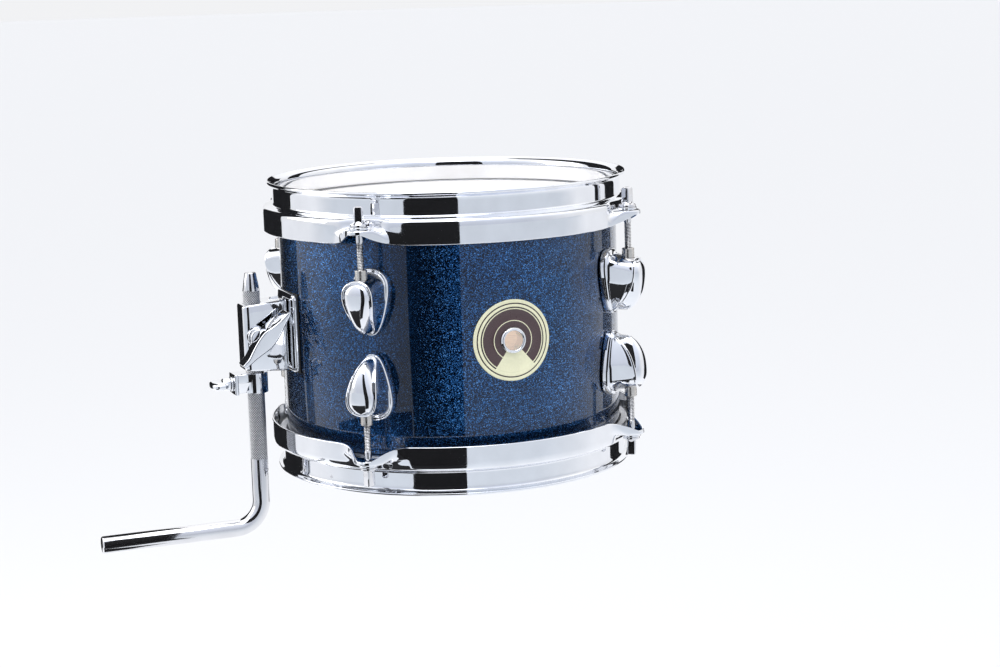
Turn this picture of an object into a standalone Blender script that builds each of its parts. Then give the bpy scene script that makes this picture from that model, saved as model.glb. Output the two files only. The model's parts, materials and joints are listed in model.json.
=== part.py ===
"""A 10 x 7 inch rack tom drum on its L-rod arm, with tom bracket and memory lock.

Metres, +Z up. The origin is the centre of the flat end of the arm's horizontal leg, where a
clamp holds it. The arm runs along +X and then up, and the drum stands on it with its axis
along Z: bracket towards -X, badge towards -Y, lugs on the diagonals.
"""

import math

import bmesh
import bpy
from mathutils import Matrix

# ---------------------------------------------------------------- driving dimensions, metres

GAP = 0.0003                    # between pieces which touch
ROUND_STEPS = 64                # facets round the big turned pieces
SMALL_STEPS = 12                # facets round screws, nuts and washers

SHELL_RADIUS = 0.127            # outside of the covering: a 10 inch shell
SHELL_HALF = 0.0889             # half of the 7 inch depth
WRAP_THICKNESS = 0.0005
WRAP_SETBACK = 0.0030           # bare edge of the shell past the covering
PLY_THICKNESS = 0.0062
EDGE_FLAT = 0.0006              # flat crest of a bearing edge
EDGE_ROUND = 0.0013             # outer round-over of a bearing edge

FILM_THICKNESS = 0.0004
COLLAR_HEIGHT = 0.0070          # how far the film turns down over the edge
FLESH_WIDTH = 0.0044
FLESH_HEIGHT = 0.0054

STEEL = 0.0023                  # hoop sheet thickness
HOOP_BAND_RADIUS = 0.1306       # outside of the upright band
HOOP_SKIRT_RADIUS = 0.1385      # outside of the hanging skirt
HOOP_LIP_RADIUS = 0.1343        # edge of the turned-out lip
HOOP_TOP = 0.1059
HOOP_BAND_FOOT = 0.0912
HOOP_SHELF = 0.0876
HOOP_SKIRT_END = 0.0721
EAR_TOP = 0.0831                # seat of the washers
EAR_RADIUS = 0.1543             # outer end of an ear
EAR_END = 0.0806                # lower edge of an ear
EAR_LOBE_REACH = 0.021          # half width over which an ear bulges out
EAR_FLAT = 0.0095               # half width of the level seat
EAR_REACH = 0.0225              # half width over which the skirt is lifted
EAR_SHOULDER = 0.0890           # where the seat runs up into the band
EAR_COLUMNS = (0.0, 0.0060, 0.0105, 0.0155, 0.0215)

LUG_COUNT = 4                   # for each head
FIRST_LUG_ANGLE = math.radians(45)
ROD_RADIUS_FROM_AXIS = 0.1445
ROD_RADIUS = 0.00245
ROD_SHANK_RADIUS = 0.0026
ROD_HOLE_RADIUS = 0.0033
ROD_HEAD_WIDTH = 0.0063
ROD_HEAD_TOP = 0.0995
ROD_FLANGE_RADIUS = 0.0063
ROD_FLANGE_BOTTOM = 0.0853
ROD_FLANGE_TOP = 0.0873
ROD_THREAD_TOP = 0.074
ROD_END = 0.036
WASHER_RADIUS = 0.0070
WASHER_HOLE_RADIUS = 0.0030

NUT_RADIUS = 0.00445
NUT_BODY_RADIUS = 0.0039
NUT_TOP = 0.0550
NUT_NECK = 0.0492
NUT_BOTTOM = 0.0330
NUT_BORE_RADIUS = 0.00275
LUG_BORE_RADIUS = 0.0048
LUG_BORE_BOTTOM = 0.0320

LUG_TAIL = 0.0064               # lowest point of a lug's foot on the shell
LUG_TOP = 0.0547                # highest point of the foot
LUG_HALF_WIDTH = 0.0140
LUG_FOOT_THICKNESS = 0.0026
LUG_FACE_RADIUS = 0.1565        # furthest point of the rounded face
LUG_FACE_HEIGHT = 0.037         # height of that point
LUG_FACE_POWER = 2.6            # fullness of the face's curve down to the tail
LUG_TAIL_POWER = 0.5            # sharpness of the outline's tail
LUG_ROUND_POWER = 0.38          # roundness of the outline's rod end
LUG_OUTLINE_STEPS = 9           # facets along one side of the outline

BADGE_RADIUS = 0.02925
BADGE_THICKNESS = 0.0008
GROMMET_BORE_RADIUS = 0.0066
GROMMET_RADIUS = 0.0076
GROMMET_FLANGE_RADIUS = 0.0095
GROMMET_HOLE_RADIUS = 0.0079
VENT_COLLAR_RADIUS = 0.0112

BRACKET_HALF_WIDTH = 0.0210
BRACKET_LOW = -0.029
BRACKET_HIGH = 0.0285
GASKET_THICKNESS = 0.0007
PLATE_THICKNESS = 0.0024
BACKING_THICKNESS = 0.0022
BLOCK_HALF_WIDTH = 0.0114
BLOCK_OUTER = 0.1638            # distance of the block's outer end from the drum axis
BLOCK_OUTER_Z = (-0.0263, 0.0218)
BLOCK_INNER_Z = (-0.0285, 0.0247)
BLOCK_ROUND = 0.0020
BOSS_RADIUS = 0.0078
BOSS_END = 0.0160
CLAMP_HEIGHT = -0.0010          # height of the wing bolt's axis
JAW_HALF = (0.0048, 0.0060)     # half width and half height of the clamp jaw
JAW_SEAT = 0.0067               # inner face of the jaw from the rod's axis
JAW_THICKNESS = 0.0029
JAW_TRAVEL_ROOM = 0.0022
BOLT_RADIUS = 0.0030
BOLT_HOLE_RADIUS = 0.0034
WING_HALF_LENGTH = 0.0265
WING_HALF_WIDTH = 0.0076
WING_TIP_WIDTH = 0.0026
WING_THICKNESS = 0.0105
WING_TILT = math.radians(-40.7)
HUB_RADIUS = 0.0060
HUB_LENGTH = 0.0032
SCREW_OFFSET = 0.0140
SCREW_HEIGHTS = (-0.0200, 0.0195)
SCREW_RADIUS = 0.0025
SCREW_HOLE_RADIUS = 0.0029
SCREW_HEAD_RADIUS = 0.0048
SCREW_HEAD_HEIGHT = 0.0030
SCREW_END = 0.1288              # tip of a screw, blind in the base plate

ARM_RADIUS = 0.00635            # a half inch rod
ARM_OFFSET = 0.1545             # rod axis from the drum axis
ARM_TOP = 0.0450                # tip above the drum's middle
ARM_CONE = 0.0135
ARM_TIP_RATIO = 0.65
ARM_LEG_DROP = 0.1454           # horizontal leg below the drum's middle
ARM_LEG_LENGTH = 0.1200
ARM_BEND = 0.0200
ARM_BEND_STEPS = 8
ARM_BORE_RADIUS = 0.00668

LOCK_TOP = -0.0288
LOCK_BOTTOM = -0.0440
LOCK_OUTER = 0.1720
LOCK_HALF_WIDTH = 0.0078
LOCK_COLLAR_RADIUS = 0.0092
LOCK_BOLT_TIP = 0.1612
LOCK_WASHER_RADIUS = 0.0054
LOCK_WASHER_THICKNESS = 0.0014
THUMB_START = 0.1755
THUMB_END = 0.1885
THUMB_HALF_WIDTH = 0.0110
THUMB_HALF_THICKNESS = 0.0040

CUT_START = 0.110               # inner end of the holes cut through the shell
CUT_END = 0.135                 # outer end of the vent hole
DRUM_CENTRE = (ARM_OFFSET + ARM_LEG_LENGTH, 0.0, ARM_LEG_DROP)
PLY_RADIUS = SHELL_RADIUS - WRAP_THICKNESS - GAP
PLY_INNER = PLY_RADIUS - PLY_THICKNESS


# ---------------------------------------------------------------- scene and materials

def clear_scene():
    for obj in list(bpy.data.objects):
        bpy.data.objects.remove(obj, do_unlink=True)


def new_collection(name):
    collection = bpy.data.collections.new(name)
    bpy.context.scene.collection.children.link(collection)
    return collection


def new_material(name, colour, roughness, metallic):
    material = bpy.data.materials.new(name)
    material.use_nodes = True
    shader = material.node_tree.nodes["Principled BSDF"]
    shader.inputs["Base Color"].default_value = (*colour, 1.0)
    shader.inputs["Roughness"].default_value = roughness
    shader.inputs["Metallic"].default_value = metallic
    material.diffuse_color = (*colour, 1.0)
    return material


clear_scene()
DRUM = new_collection("tom_tom_drum")
CUTTERS = new_collection("cutters")

CHROME = new_material("chrome", (0.80, 0.81, 0.84), 0.08, 1.0)
BRUSHED = new_material("zinc", (0.62, 0.62, 0.60), 0.35, 1.0)
SPARKLE = new_material("blue_sparkle", (0.03, 0.12, 0.38), 0.25, 0.3)
WOOD = new_material("maple_ply", (0.62, 0.43, 0.24), 0.55, 0.0)
FILM = new_material("coated_film", (0.88, 0.86, 0.80), 0.45, 0.0)
ALUMINIUM = new_material("aluminium", (0.75, 0.76, 0.78), 0.35, 1.0)
ENAMEL = new_material("badge_enamel", (0.86, 0.82, 0.62), 0.30, 0.0)
RUBBER = new_material("black_rubber", (0.03, 0.03, 0.03), 0.70, 0.0)


def new_empty(name, location):
    empty = bpy.data.objects.new(name, None)
    empty.location = location
    DRUM.objects.link(empty)
    return empty


DRUM_FRAME = new_empty("drum_frame", DRUM_CENTRE)


def place(name, mesh, material, location=(0, 0, 0), rotation=(0, 0, 0), collection=DRUM):
    """A named object in the drum's frame, which shares the mesh it is given."""
    obj = bpy.data.objects.new(name, mesh)
    if material and not mesh.materials:
        mesh.materials.append(material)
    obj.parent = DRUM_FRAME
    obj.location = location
    obj.rotation_euler = rotation
    collection.objects.link(obj)
    return obj


def smooth(mesh, angle=math.radians(35)):
    mesh.shade_smooth()
    mesh.set_sharp_from_angle(angle=angle)
    return mesh


# ---------------------------------------------------------------- shapes

def mesh_from(bm, name):
    mesh = bpy.data.meshes.new(name)
    bm.to_mesh(mesh)
    bm.free()
    return mesh


def turned(name, profile, material, steps, ring=False, **spot):
    """A profile of (radius, height) points, down its outer side, turned about local Z."""
    bm = bmesh.new()
    points = [bm.verts.new((radius, 0.0, height)) for radius, height in profile]
    following = points[1:] + (points[:1] if ring else [])
    for start, end in zip(points, following):
        bm.edges.new((start, end))
    obj = place(name, mesh_from(bm, name), material, **spot)
    screw = obj.modifiers.new("Turn", "SCREW")
    screw.steps = steps
    screw.render_steps = steps
    screw.use_merge_vertices = True
    screw.merge_threshold = 0.00001
    return obj


def ring_profile(inner, outer, low, high):
    return [(outer, high), (outer, low), (inner, low), (inner, high)]


def cylinder_mesh(name, radius, low, high, steps):
    """A closed cylinder along local Z from low to high."""
    bm = bmesh.new()
    bmesh.ops.create_cone(
        bm, cap_ends=True, segments=steps, radius1=radius, radius2=radius, depth=high - low,
        matrix=Matrix.Translation((0, 0, (low + high) / 2)))
    return mesh_from(bm, name)


def box_mesh(name, low, high):
    """A closed box between two corners."""
    size = [b - a for a, b in zip(low, high)]
    middle = [(a + b) / 2 for a, b in zip(low, high)]
    bm = bmesh.new()
    bmesh.ops.create_cube(bm, size=1.0, matrix=Matrix.LocRotScale(middle, None, size))
    return mesh_from(bm, name)


def plate_mesh(name, outline, thickness):
    """A flat plate in local XY, centred on Z, from a closed outline."""
    curve = bpy.data.curves.new(name, "CURVE")
    curve.dimensions = "2D"
    curve.fill_mode = "BOTH"
    curve.extrude = thickness / 2
    curve.render_resolution_u = 0
    spline = curve.splines.new("POLY")
    spline.points.add(len(outline) - 1)
    spline.use_cyclic_u = True
    for point, (x, y) in zip(spline.points, outline):
        point.co = (x, y, 0.0, 1.0)
    return mesh_of_curve(curve)


def mesh_of_curve(curve):
    """The curve as a closed mesh, its caps welded on."""
    obj = bpy.data.objects.new(curve.name, curve)
    CUTTERS.objects.link(obj)
    depsgraph = bpy.context.evaluated_depsgraph_get()
    mesh = bpy.data.meshes.new_from_object(obj.evaluated_get(depsgraph), depsgraph=depsgraph)
    bpy.data.objects.remove(obj)
    bm = bmesh.new()
    bm.from_mesh(mesh)
    bmesh.ops.remove_doubles(bm, verts=bm.verts, dist=0.00001)
    bmesh.ops.recalc_face_normals(bm, faces=bm.faces)
    bm.to_mesh(mesh)
    bm.free()
    return mesh


def curved_plate(name, half_width, low, high, inner_radius, thickness, material, angle):
    """A plate wrapped round the shell, centred on an angle about the drum's axis."""
    columns = 8
    bm = bmesh.new()
    bmesh.ops.create_grid(bm, x_segments=columns, y_segments=2, size=0.5)
    for vert in bm.verts:
        turn = vert.co.x * 2 * half_width / inner_radius
        height = low + (vert.co.y + 0.5) * (high - low)
        vert.co = (inner_radius * math.cos(turn), inner_radius * math.sin(turn), height)
    obj = place(name, smooth(mesh_from(bm, name)), material, rotation=(0, 0, angle))
    thicken(obj, thickness)
    return obj


def thicken(obj, thickness):
    """Solidify outwards, away from the drum's axis."""
    modifier = obj.modifiers.new("Thickness", "SOLIDIFY")
    modifier.thickness = thickness
    modifier.offset = 1.0
    modifier.use_even_offset = True


def round_edges(obj, width, segments=2, angle=math.radians(40)):
    modifier = obj.modifiers.new("Rounding", "BEVEL")
    modifier.width = width
    modifier.segments = segments
    modifier.limit_method = "ANGLE"
    modifier.angle_limit = angle


def as_cutter(name, mesh, **spot):
    obj = place(name, mesh, None, collection=CUTTERS, **spot)
    obj.hide_render = True
    obj.display_type = "WIRE"
    return obj


def combine(obj, other, operation="DIFFERENCE"):
    modifier = obj.modifiers.new(operation.title(), "BOOLEAN")
    modifier.operation = operation
    modifier.object = other
    modifier.solver = "EXACT"


def settled(obj, material):
    """The evaluated mesh of an object, which is then removed, for pieces which repeat."""
    depsgraph = bpy.context.evaluated_depsgraph_get()
    mesh = bpy.data.meshes.new_from_object(obj.evaluated_get(depsgraph), depsgraph=depsgraph)
    mesh.name = obj.name
    bpy.data.objects.remove(obj)
    mesh.materials.clear()
    mesh.materials.append(material)
    return smooth(mesh)


def joined_mesh(name, meshes):
    """Several separate closed shapes in one mesh, for a cutter."""
    bm = bmesh.new()
    for mesh in meshes:
        bm.from_mesh(mesh)
    return mesh_from(bm, name)


# ---------------------------------------------------------------- stations round the drum

def station_angle(index):
    return FIRST_LUG_ANGLE + index * 2 * math.pi / LUG_COUNT


def repeat_at_lugs(prefix, mesh, radius=0.0):
    """One object for each lug, batter side up and resonant side turned over."""
    for side, flip in (("batter", 0.0), ("resonant", math.pi)):
        for index in range(LUG_COUNT):
            angle = station_angle(index)
            spot = (radius * math.cos(angle), radius * math.sin(angle), 0.0)
            place(f"{side}_{prefix}_{index + 1}", mesh, None, spot, (flip, 0.0, angle))


# ---------------------------------------------------------------- shell, covering and heads

def build_shell():
    crest = PLY_RADIUS - EDGE_ROUND
    bevel_start = SHELL_HALF - (crest - EDGE_FLAT - PLY_INNER)
    upper = [(crest - EDGE_FLAT, SHELL_HALF), (crest, SHELL_HALF),
             (PLY_RADIUS, SHELL_HALF - EDGE_ROUND)]
    profile = upper + [(radius, -height) for radius, height in reversed(upper)]
    profile += [(PLY_INNER, -bevel_start), (PLY_INNER, bevel_start)]
    return turned("shell", profile, WOOD, ROUND_STEPS, ring=True)


def build_wrap():
    profile = ring_profile(PLY_RADIUS + GAP, SHELL_RADIUS, WRAP_SETBACK - SHELL_HALF,
                           SHELL_HALF - WRAP_SETBACK)
    return turned("shell_wrap", profile, SPARKLE, ROUND_STEPS, ring=True)


def build_heads():
    underside = SHELL_HALF + GAP + 0.00005
    top = underside + FILM_THICKNESS
    collar_in = SHELL_RADIUS + GAP
    collar_out = collar_in + FILM_THICKNESS
    shoulder = collar_in - 0.0017
    bend = top - 0.0018
    foot = top - COLLAR_HEIGHT
    film = [(0.0, top), (shoulder, top), (collar_out, bend), (collar_out, foot),
            (collar_in, foot), (collar_in, bend - 0.0001), (shoulder, underside),
            (0.0, underside)]
    flesh_in = collar_out + GAP
    flesh_high = HOOP_SHELF - 0.0016
    flesh = ring_profile(flesh_in, flesh_in + FLESH_WIDTH, flesh_high - FLESH_HEIGHT,
                         flesh_high)
    for side, flip in (("batter", 0.0), ("resonant", math.pi)):
        turned(f"{side}_film", film, FILM, ROUND_STEPS, rotation=(flip, 0, 0))
        turned(f"{side}_flesh_hoop", flesh, ALUMINIUM, ROUND_STEPS, ring=True,
               rotation=(flip, 0, 0))


# ---------------------------------------------------------------- counter hoops

def ease(value):
    """Smooth step from 0 to 1."""
    value = min(max(value, 0.0), 1.0)
    return value * value * (3 - 2 * value)


def mix(plain, ear, weight):
    return tuple(a + (b - a) * weight for a, b in zip(plain, ear))


def hoop_section(distance):
    """The hoop's section at a distance along the rim from the middle of an ear."""
    distance = abs(distance)
    seat = ease((EAR_REACH - distance) / (EAR_REACH - EAR_FLAT))
    lift = ease((EAR_REACH - distance) / (EAR_REACH - EAR_FLAT / 2))
    lobe = 0.0
    if distance < EAR_LOBE_REACH:
        lobe = math.cos(math.pi * distance / (2 * EAR_LOBE_REACH)) ** 2
    outer = HOOP_SKIRT_RADIUS + (EAR_RADIUS - HOOP_SKIRT_RADIUS) * lobe
    end = HOOP_SKIRT_END + (EAR_END - HOOP_SKIRT_END) * lift
    band_in = HOOP_BAND_RADIUS - STEEL
    root = HOOP_SKIRT_RADIUS - 0.0016
    return [
        (HOOP_LIP_RADIUS, HOOP_TOP),
        (HOOP_BAND_RADIUS, HOOP_TOP - 0.0033),
        (HOOP_BAND_RADIUS, HOOP_BAND_FOOT),
        mix((HOOP_SKIRT_RADIUS - 0.0015, HOOP_SHELF + 0.0007), (root - 0.0017, EAR_SHOULDER),
            seat),
        mix((HOOP_SKIRT_RADIUS - 0.0005, HOOP_SHELF), (root, EAR_TOP), seat),
        (outer, HOOP_SHELF - 0.0010 + (EAR_TOP - HOOP_SHELF + 0.0010) * seat),
        (outer, end),
        (outer - STEEL, end),
        mix((HOOP_SKIRT_RADIUS - STEEL, HOOP_SHELF - 0.0027), (root - 0.0021, EAR_END + 0.0002),
            seat),
        mix((HOOP_SKIRT_RADIUS - 0.0035, HOOP_SHELF - 0.0017), (root - 0.0039, EAR_SHOULDER - STEEL),
            seat),
        (band_in, HOOP_BAND_FOOT - STEEL),
        (band_in, HOOP_TOP - 0.0023),
        (HOOP_LIP_RADIUS - 0.0011, HOOP_TOP + 0.0008),
    ]


def hoop_columns():
    """Angles and ear distances of the hoop's sections, closest together at the ears."""
    near = list(EAR_COLUMNS)
    span = HOOP_SKIRT_RADIUS * 2 * math.pi / LUG_COUNT
    between = 12
    step = (span - 2 * near[-1]) / between
    distances = [-value for value in reversed(near[1:])] + near
    distances += [near[-1] + step * count for count in range(1, between)]
    for index in range(LUG_COUNT):
        for distance in distances:
            nearest = min(distance, span - distance) if distance > 0 else distance
            yield station_angle(index) + distance / HOOP_SKIRT_RADIUS, nearest


def build_hoops():
    bm = bmesh.new()
    rings = []
    for angle, distance in hoop_columns():
        rings.append([bm.verts.new((r * math.cos(angle), r * math.sin(angle), z))
                      for r, z in hoop_section(distance)])
    for ring, following in zip(rings, rings[1:] + rings[:1]):
        for index in range(len(ring)):
            bm.faces.new((ring[index], ring[index - 1], following[index - 1],
                          following[index]))
    bmesh.ops.recalc_face_normals(bm, faces=bm.faces)
    blank = place("hoop_blank", mesh_from(bm, "hoop"), CHROME)
    holes = []
    for index in range(LUG_COUNT):
        angle = station_angle(index)
        hole = cylinder_mesh("ear_hole", ROD_HOLE_RADIUS, EAR_END - 0.004, EAR_TOP + 0.004,
                             SMALL_STEPS)
        hole.transform(Matrix.Translation((ROD_RADIUS_FROM_AXIS * math.cos(angle),
                                           ROD_RADIUS_FROM_AXIS * math.sin(angle), 0)))
        holes.append(hole)
    combine(blank, as_cutter("ear_holes", joined_mesh("ear_holes", holes)))
    mesh = settled(blank, CHROME)
    place("batter_hoop", mesh, None)
    place("resonant_hoop", mesh, None, rotation=(math.pi, 0, 0))


# ---------------------------------------------------------------- lugs and tension rods

def lug_outline(half_width, tail, top):
    """Half widths and heights of the lug's drop-shaped outline, from tail to rod end."""
    widest = LUG_TAIL_POWER / (LUG_TAIL_POWER + LUG_ROUND_POWER)
    peak = widest ** LUG_TAIL_POWER * (1 - widest) ** LUG_ROUND_POWER
    for count in range(LUG_OUTLINE_STEPS + 1):
        along = (1 - math.cos(math.pi * count / LUG_OUTLINE_STEPS)) / 2
        width = along ** LUG_TAIL_POWER * (1 - along) ** LUG_ROUND_POWER / peak
        yield half_width * width, tail + (top - tail) * along


def lug_face_radius(height):
    """Distance of the lug's rounded face from the drum's axis."""
    reach = LUG_FACE_RADIUS - SHELL_RADIUS
    if height < LUG_FACE_HEIGHT:
        drop = (LUG_FACE_HEIGHT - height) / (LUG_FACE_HEIGHT - LUG_TAIL + 0.0010)
        fall = max(1 - drop ** LUG_FACE_POWER, 0.0)
        return SHELL_RADIUS + reach * fall ** (1 / LUG_FACE_POWER)
    rise = (height - LUG_FACE_HEIGHT) / (LUG_TOP - LUG_FACE_HEIGHT)
    return LUG_FACE_RADIUS - 0.006 * rise * rise


def build_lugs():
    seat = SHELL_RADIUS + 2 * GAP

    def on_shell(raise_by):
        return lambda y, z: math.sqrt(seat * seat - y * y) + raise_by

    def on_face(raise_by):
        return lambda y, z: lug_face_radius(z) + raise_by

    foot = LUG_FOOT_THICKNESS
    rows = [
        (LUG_HALF_WIDTH, LUG_TAIL, LUG_TOP, on_shell(0.0)),
        (LUG_HALF_WIDTH, LUG_TAIL, LUG_TOP, on_shell(foot - 0.0014)),
        (LUG_HALF_WIDTH - 0.0014, LUG_TAIL + 0.0010, LUG_TOP - 0.0030, on_shell(foot + 0.0014)),
        (LUG_HALF_WIDTH - 0.0017, LUG_TAIL + 0.0018, LUG_TOP - 0.0042, on_face(-0.0016)),
        (LUG_HALF_WIDTH - 0.0026, LUG_TAIL + 0.0030, LUG_TOP - 0.0052, on_face(0.0)),
        (LUG_HALF_WIDTH - 0.0050, LUG_TAIL + 0.0064, LUG_TOP - 0.0080, on_face(-0.0005)),
    ]
    bm = bmesh.new()
    loops = []
    for half_width, tail, top, height_of in rows:
        side = list(lug_outline(half_width, tail, top))
        ring = side + [(-y, z) for y, z in reversed(side[1:-1])]
        loops.append([bm.verts.new((height_of(y, z), y, z)) for y, z in ring])
    for low, high in zip(loops, loops[1:]):
        for index in range(len(low)):
            bm.faces.new((low[index - 1], low[index], high[index], high[index - 1]))
    close_with_spine(bm, loops[0], lambda z: seat)
    close_with_spine(bm, loops[-1], lambda z: lug_face_radius(z) + 0.0002)
    bmesh.ops.recalc_face_normals(bm, faces=bm.faces)
    blank = place("lug_blank", mesh_from(bm, "lug"), CHROME)
    bore = cylinder_mesh("lug_bore", LUG_BORE_RADIUS, LUG_BORE_BOTTOM, NUT_TOP + 0.005, 16)
    combine(blank, as_cutter("lug_bore", bore, location=(ROD_RADIUS_FROM_AXIS, 0, 0)))
    repeat_at_lugs("lug", settled(blank, CHROME))


def close_with_spine(bm, loop, radius_at):
    """Close a symmetric loop with a line of points down its middle."""
    steps = len(loop) // 2
    spine = [loop[0]]
    for index in range(1, steps):
        height = loop[index].co.z
        spine.append(bm.verts.new((radius_at(height), 0.0, height)))
    spine.append(loop[steps])
    for index in range(steps):
        for side in (1, -1):
            corners = [spine[index], loop[side * index], loop[side * (index + 1)],
                       spine[index + 1]]
            unique = list(dict.fromkeys(corners))
            bm.faces.new(unique)


def build_swivel_nuts():
    profile = [(NUT_RADIUS - 0.0005, NUT_TOP), (NUT_RADIUS, NUT_TOP - 0.0006),
               (NUT_RADIUS, NUT_NECK), (NUT_BODY_RADIUS, NUT_NECK - 0.001),
               (NUT_BODY_RADIUS, NUT_BOTTOM), (NUT_BORE_RADIUS, NUT_BOTTOM),
               (NUT_BORE_RADIUS, NUT_TOP)]
    blank = turned("nut_blank", profile, BRUSHED, SMALL_STEPS, ring=True)
    repeat_at_lugs("swivel_nut", settled(blank, BRUSHED), ROD_RADIUS_FROM_AXIS)


def build_tension_rods():
    inside_head = ROD_FLANGE_TOP + 0.002
    profile = [(0.0, inside_head), (ROD_HEAD_WIDTH * 0.45, inside_head),
               (ROD_FLANGE_RADIUS, ROD_FLANGE_TOP), (ROD_FLANGE_RADIUS, ROD_FLANGE_BOTTOM),
               (ROD_SHANK_RADIUS, ROD_FLANGE_BOTTOM), (ROD_SHANK_RADIUS, ROD_THREAD_TOP),
               (ROD_RADIUS, ROD_THREAD_TOP - 0.0004), (ROD_RADIUS, ROD_END + 0.001),
               (ROD_RADIUS - 0.001, ROD_END), (0.0, ROD_END)]
    blank = turned("rod_blank", profile, CHROME, SMALL_STEPS)
    half = ROD_HEAD_WIDTH / 2
    head = as_cutter("rod_head", box_mesh("rod_head", (-half, -half, ROD_FLANGE_TOP - 0.0006),
                                          (half, half, ROD_HEAD_TOP)))
    round_edges(head, 0.0009)
    combine(blank, head, "UNION")
    repeat_at_lugs("tension_rod", settled(blank, CHROME), ROD_RADIUS_FROM_AXIS)
    washer = turned("washer_blank",
                    ring_profile(WASHER_HOLE_RADIUS, WASHER_RADIUS, EAR_TOP + GAP,
                                 ROD_FLANGE_BOTTOM - GAP),
                    CHROME, SMALL_STEPS, ring=True)
    repeat_at_lugs("rod_washer", settled(washer, CHROME), ROD_RADIUS_FROM_AXIS)


# ---------------------------------------------------------------- badge and vent

FRONT = -math.pi / 2            # angle of the badge about the drum's axis


def build_badge():
    """A round plate wrapped on the shell, with a hole for the vent."""
    inner_radius = SHELL_RADIUS + GAP + 0.00005
    bm = bmesh.new()
    around = 36
    circles = [GROMMET_HOLE_RADIUS, BADGE_RADIUS * 0.5, BADGE_RADIUS * 0.78, BADGE_RADIUS]
    rings = []
    for radius in circles:
        points = [2 * math.pi * count / around for count in range(around)]
        rings.append([on_cylinder(bm, inner_radius, radius * math.cos(turn),
                                  radius * math.sin(turn)) for turn in points])
    for ring, following in zip(rings, rings[1:]):
        for index in range(around):
            bm.faces.new((ring[index - 1], following[index - 1], following[index],
                          ring[index]))
    badge = place("badge", smooth(mesh_from(bm, "badge")), ENAMEL, rotation=(0, 0, FRONT))
    thicken(badge, BADGE_THICKNESS)


def on_cylinder(bm, radius, across, height):
    turn = across / radius
    return bm.verts.new((radius * math.cos(turn), radius * math.sin(turn), height))


def build_grommet():
    """The flanged vent tube, turned about the radial line through the badge."""
    seat = SHELL_RADIUS + 2 * GAP + BADGE_THICKNESS + 0.00005
    back = PLY_INNER - 0.0015
    profile = [(GROMMET_RADIUS, seat + 0.0016), (GROMMET_FLANGE_RADIUS, seat + 0.0008),
               (GROMMET_FLANGE_RADIUS, seat), (GROMMET_RADIUS, seat), (GROMMET_RADIUS, back),
               (GROMMET_BORE_RADIUS, back), (GROMMET_BORE_RADIUS, seat + 0.0012)]
    facing = (math.pi / 2, 0, 0)
    turned("vent_grommet", profile, CHROME, 20, ring=True, rotation=facing)
    collar = ring_profile(GROMMET_HOLE_RADIUS, VENT_COLLAR_RADIUS, back, PLY_INNER - 0.0008)
    turned("vent_collar", collar, CHROME, 20, ring=True, rotation=facing)
    hole = cylinder_mesh("vent_hole", GROMMET_HOLE_RADIUS, CUT_START, CUT_END, 20)
    return as_cutter("vent_hole", hole, rotation=facing)


# ---------------------------------------------------------------- tom bracket

BRACKET_SIDE = math.pi          # angle of the bracket about the drum's axis


def screw_holes():
    """Four holes through the shell for the bracket's screws, blind in its base plate."""
    holes = []
    for y in (-SCREW_OFFSET, SCREW_OFFSET):
        for z in SCREW_HEIGHTS:
            hole = cylinder_mesh("screw_hole", SCREW_HOLE_RADIUS, CUT_START,
                                 SCREW_END + 0.0004, SMALL_STEPS)
            hole.transform(Matrix.Translation((0, y, z)) @ Matrix.Rotation(
                -math.pi / 2, 4, "Y"))
            holes.append(hole)
    return as_cutter("screw_holes", joined_mesh("screw_holes", holes))


def build_bracket_plates(holes):
    gasket_radius = SHELL_RADIUS + GAP
    plate_radius = gasket_radius + GASKET_THICKNESS + GAP
    backing_radius = PLY_INNER - GAP - BACKING_THICKNESS
    gasket = curved_plate("bracket_gasket", BRACKET_HALF_WIDTH + 0.0006, BRACKET_LOW - 0.0006,
                          BRACKET_HIGH + 0.0006, gasket_radius, GASKET_THICKNESS, RUBBER,
                          BRACKET_SIDE)
    plate = curved_plate("bracket_plate", BRACKET_HALF_WIDTH, BRACKET_LOW, BRACKET_HIGH,
                         plate_radius, PLATE_THICKNESS, CHROME, BRACKET_SIDE)
    round_edges(plate, 0.0008, 1)
    backing = curved_plate("bracket_backing", BRACKET_HALF_WIDTH, BRACKET_LOW + 0.002,
                           BRACKET_HIGH - 0.002, backing_radius, BACKING_THICKNESS, BRUSHED,
                           BRACKET_SIDE)
    for piece in (gasket, plate, backing):
        combine(piece, holes)
    build_bracket_screws(backing_radius)
    return plate_radius + PLATE_THICKNESS


def build_bracket_screws(backing_radius):
    """Pan head screws, put in from inside the shell."""
    seat = math.sqrt(backing_radius ** 2 - (SCREW_OFFSET + SCREW_HEAD_RADIUS) ** 2) - GAP
    profile = [(0.0, SCREW_END), (SCREW_RADIUS, SCREW_END), (SCREW_RADIUS, seat),
               (SCREW_HEAD_RADIUS, seat), (SCREW_HEAD_RADIUS - 0.0012, seat - SCREW_HEAD_HEIGHT),
               (0.0, seat - SCREW_HEAD_HEIGHT)]
    mesh = settled(turned("screw_blank", profile, BRUSHED, SMALL_STEPS), BRUSHED)
    spots = [(y, z) for y in (-SCREW_OFFSET, SCREW_OFFSET) for z in SCREW_HEIGHTS]
    for index, (y, z) in enumerate(spots):
        place(f"bracket_screw_{index + 1}", mesh, None, (0, y, z), (0, -math.pi / 2, 0))


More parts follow.
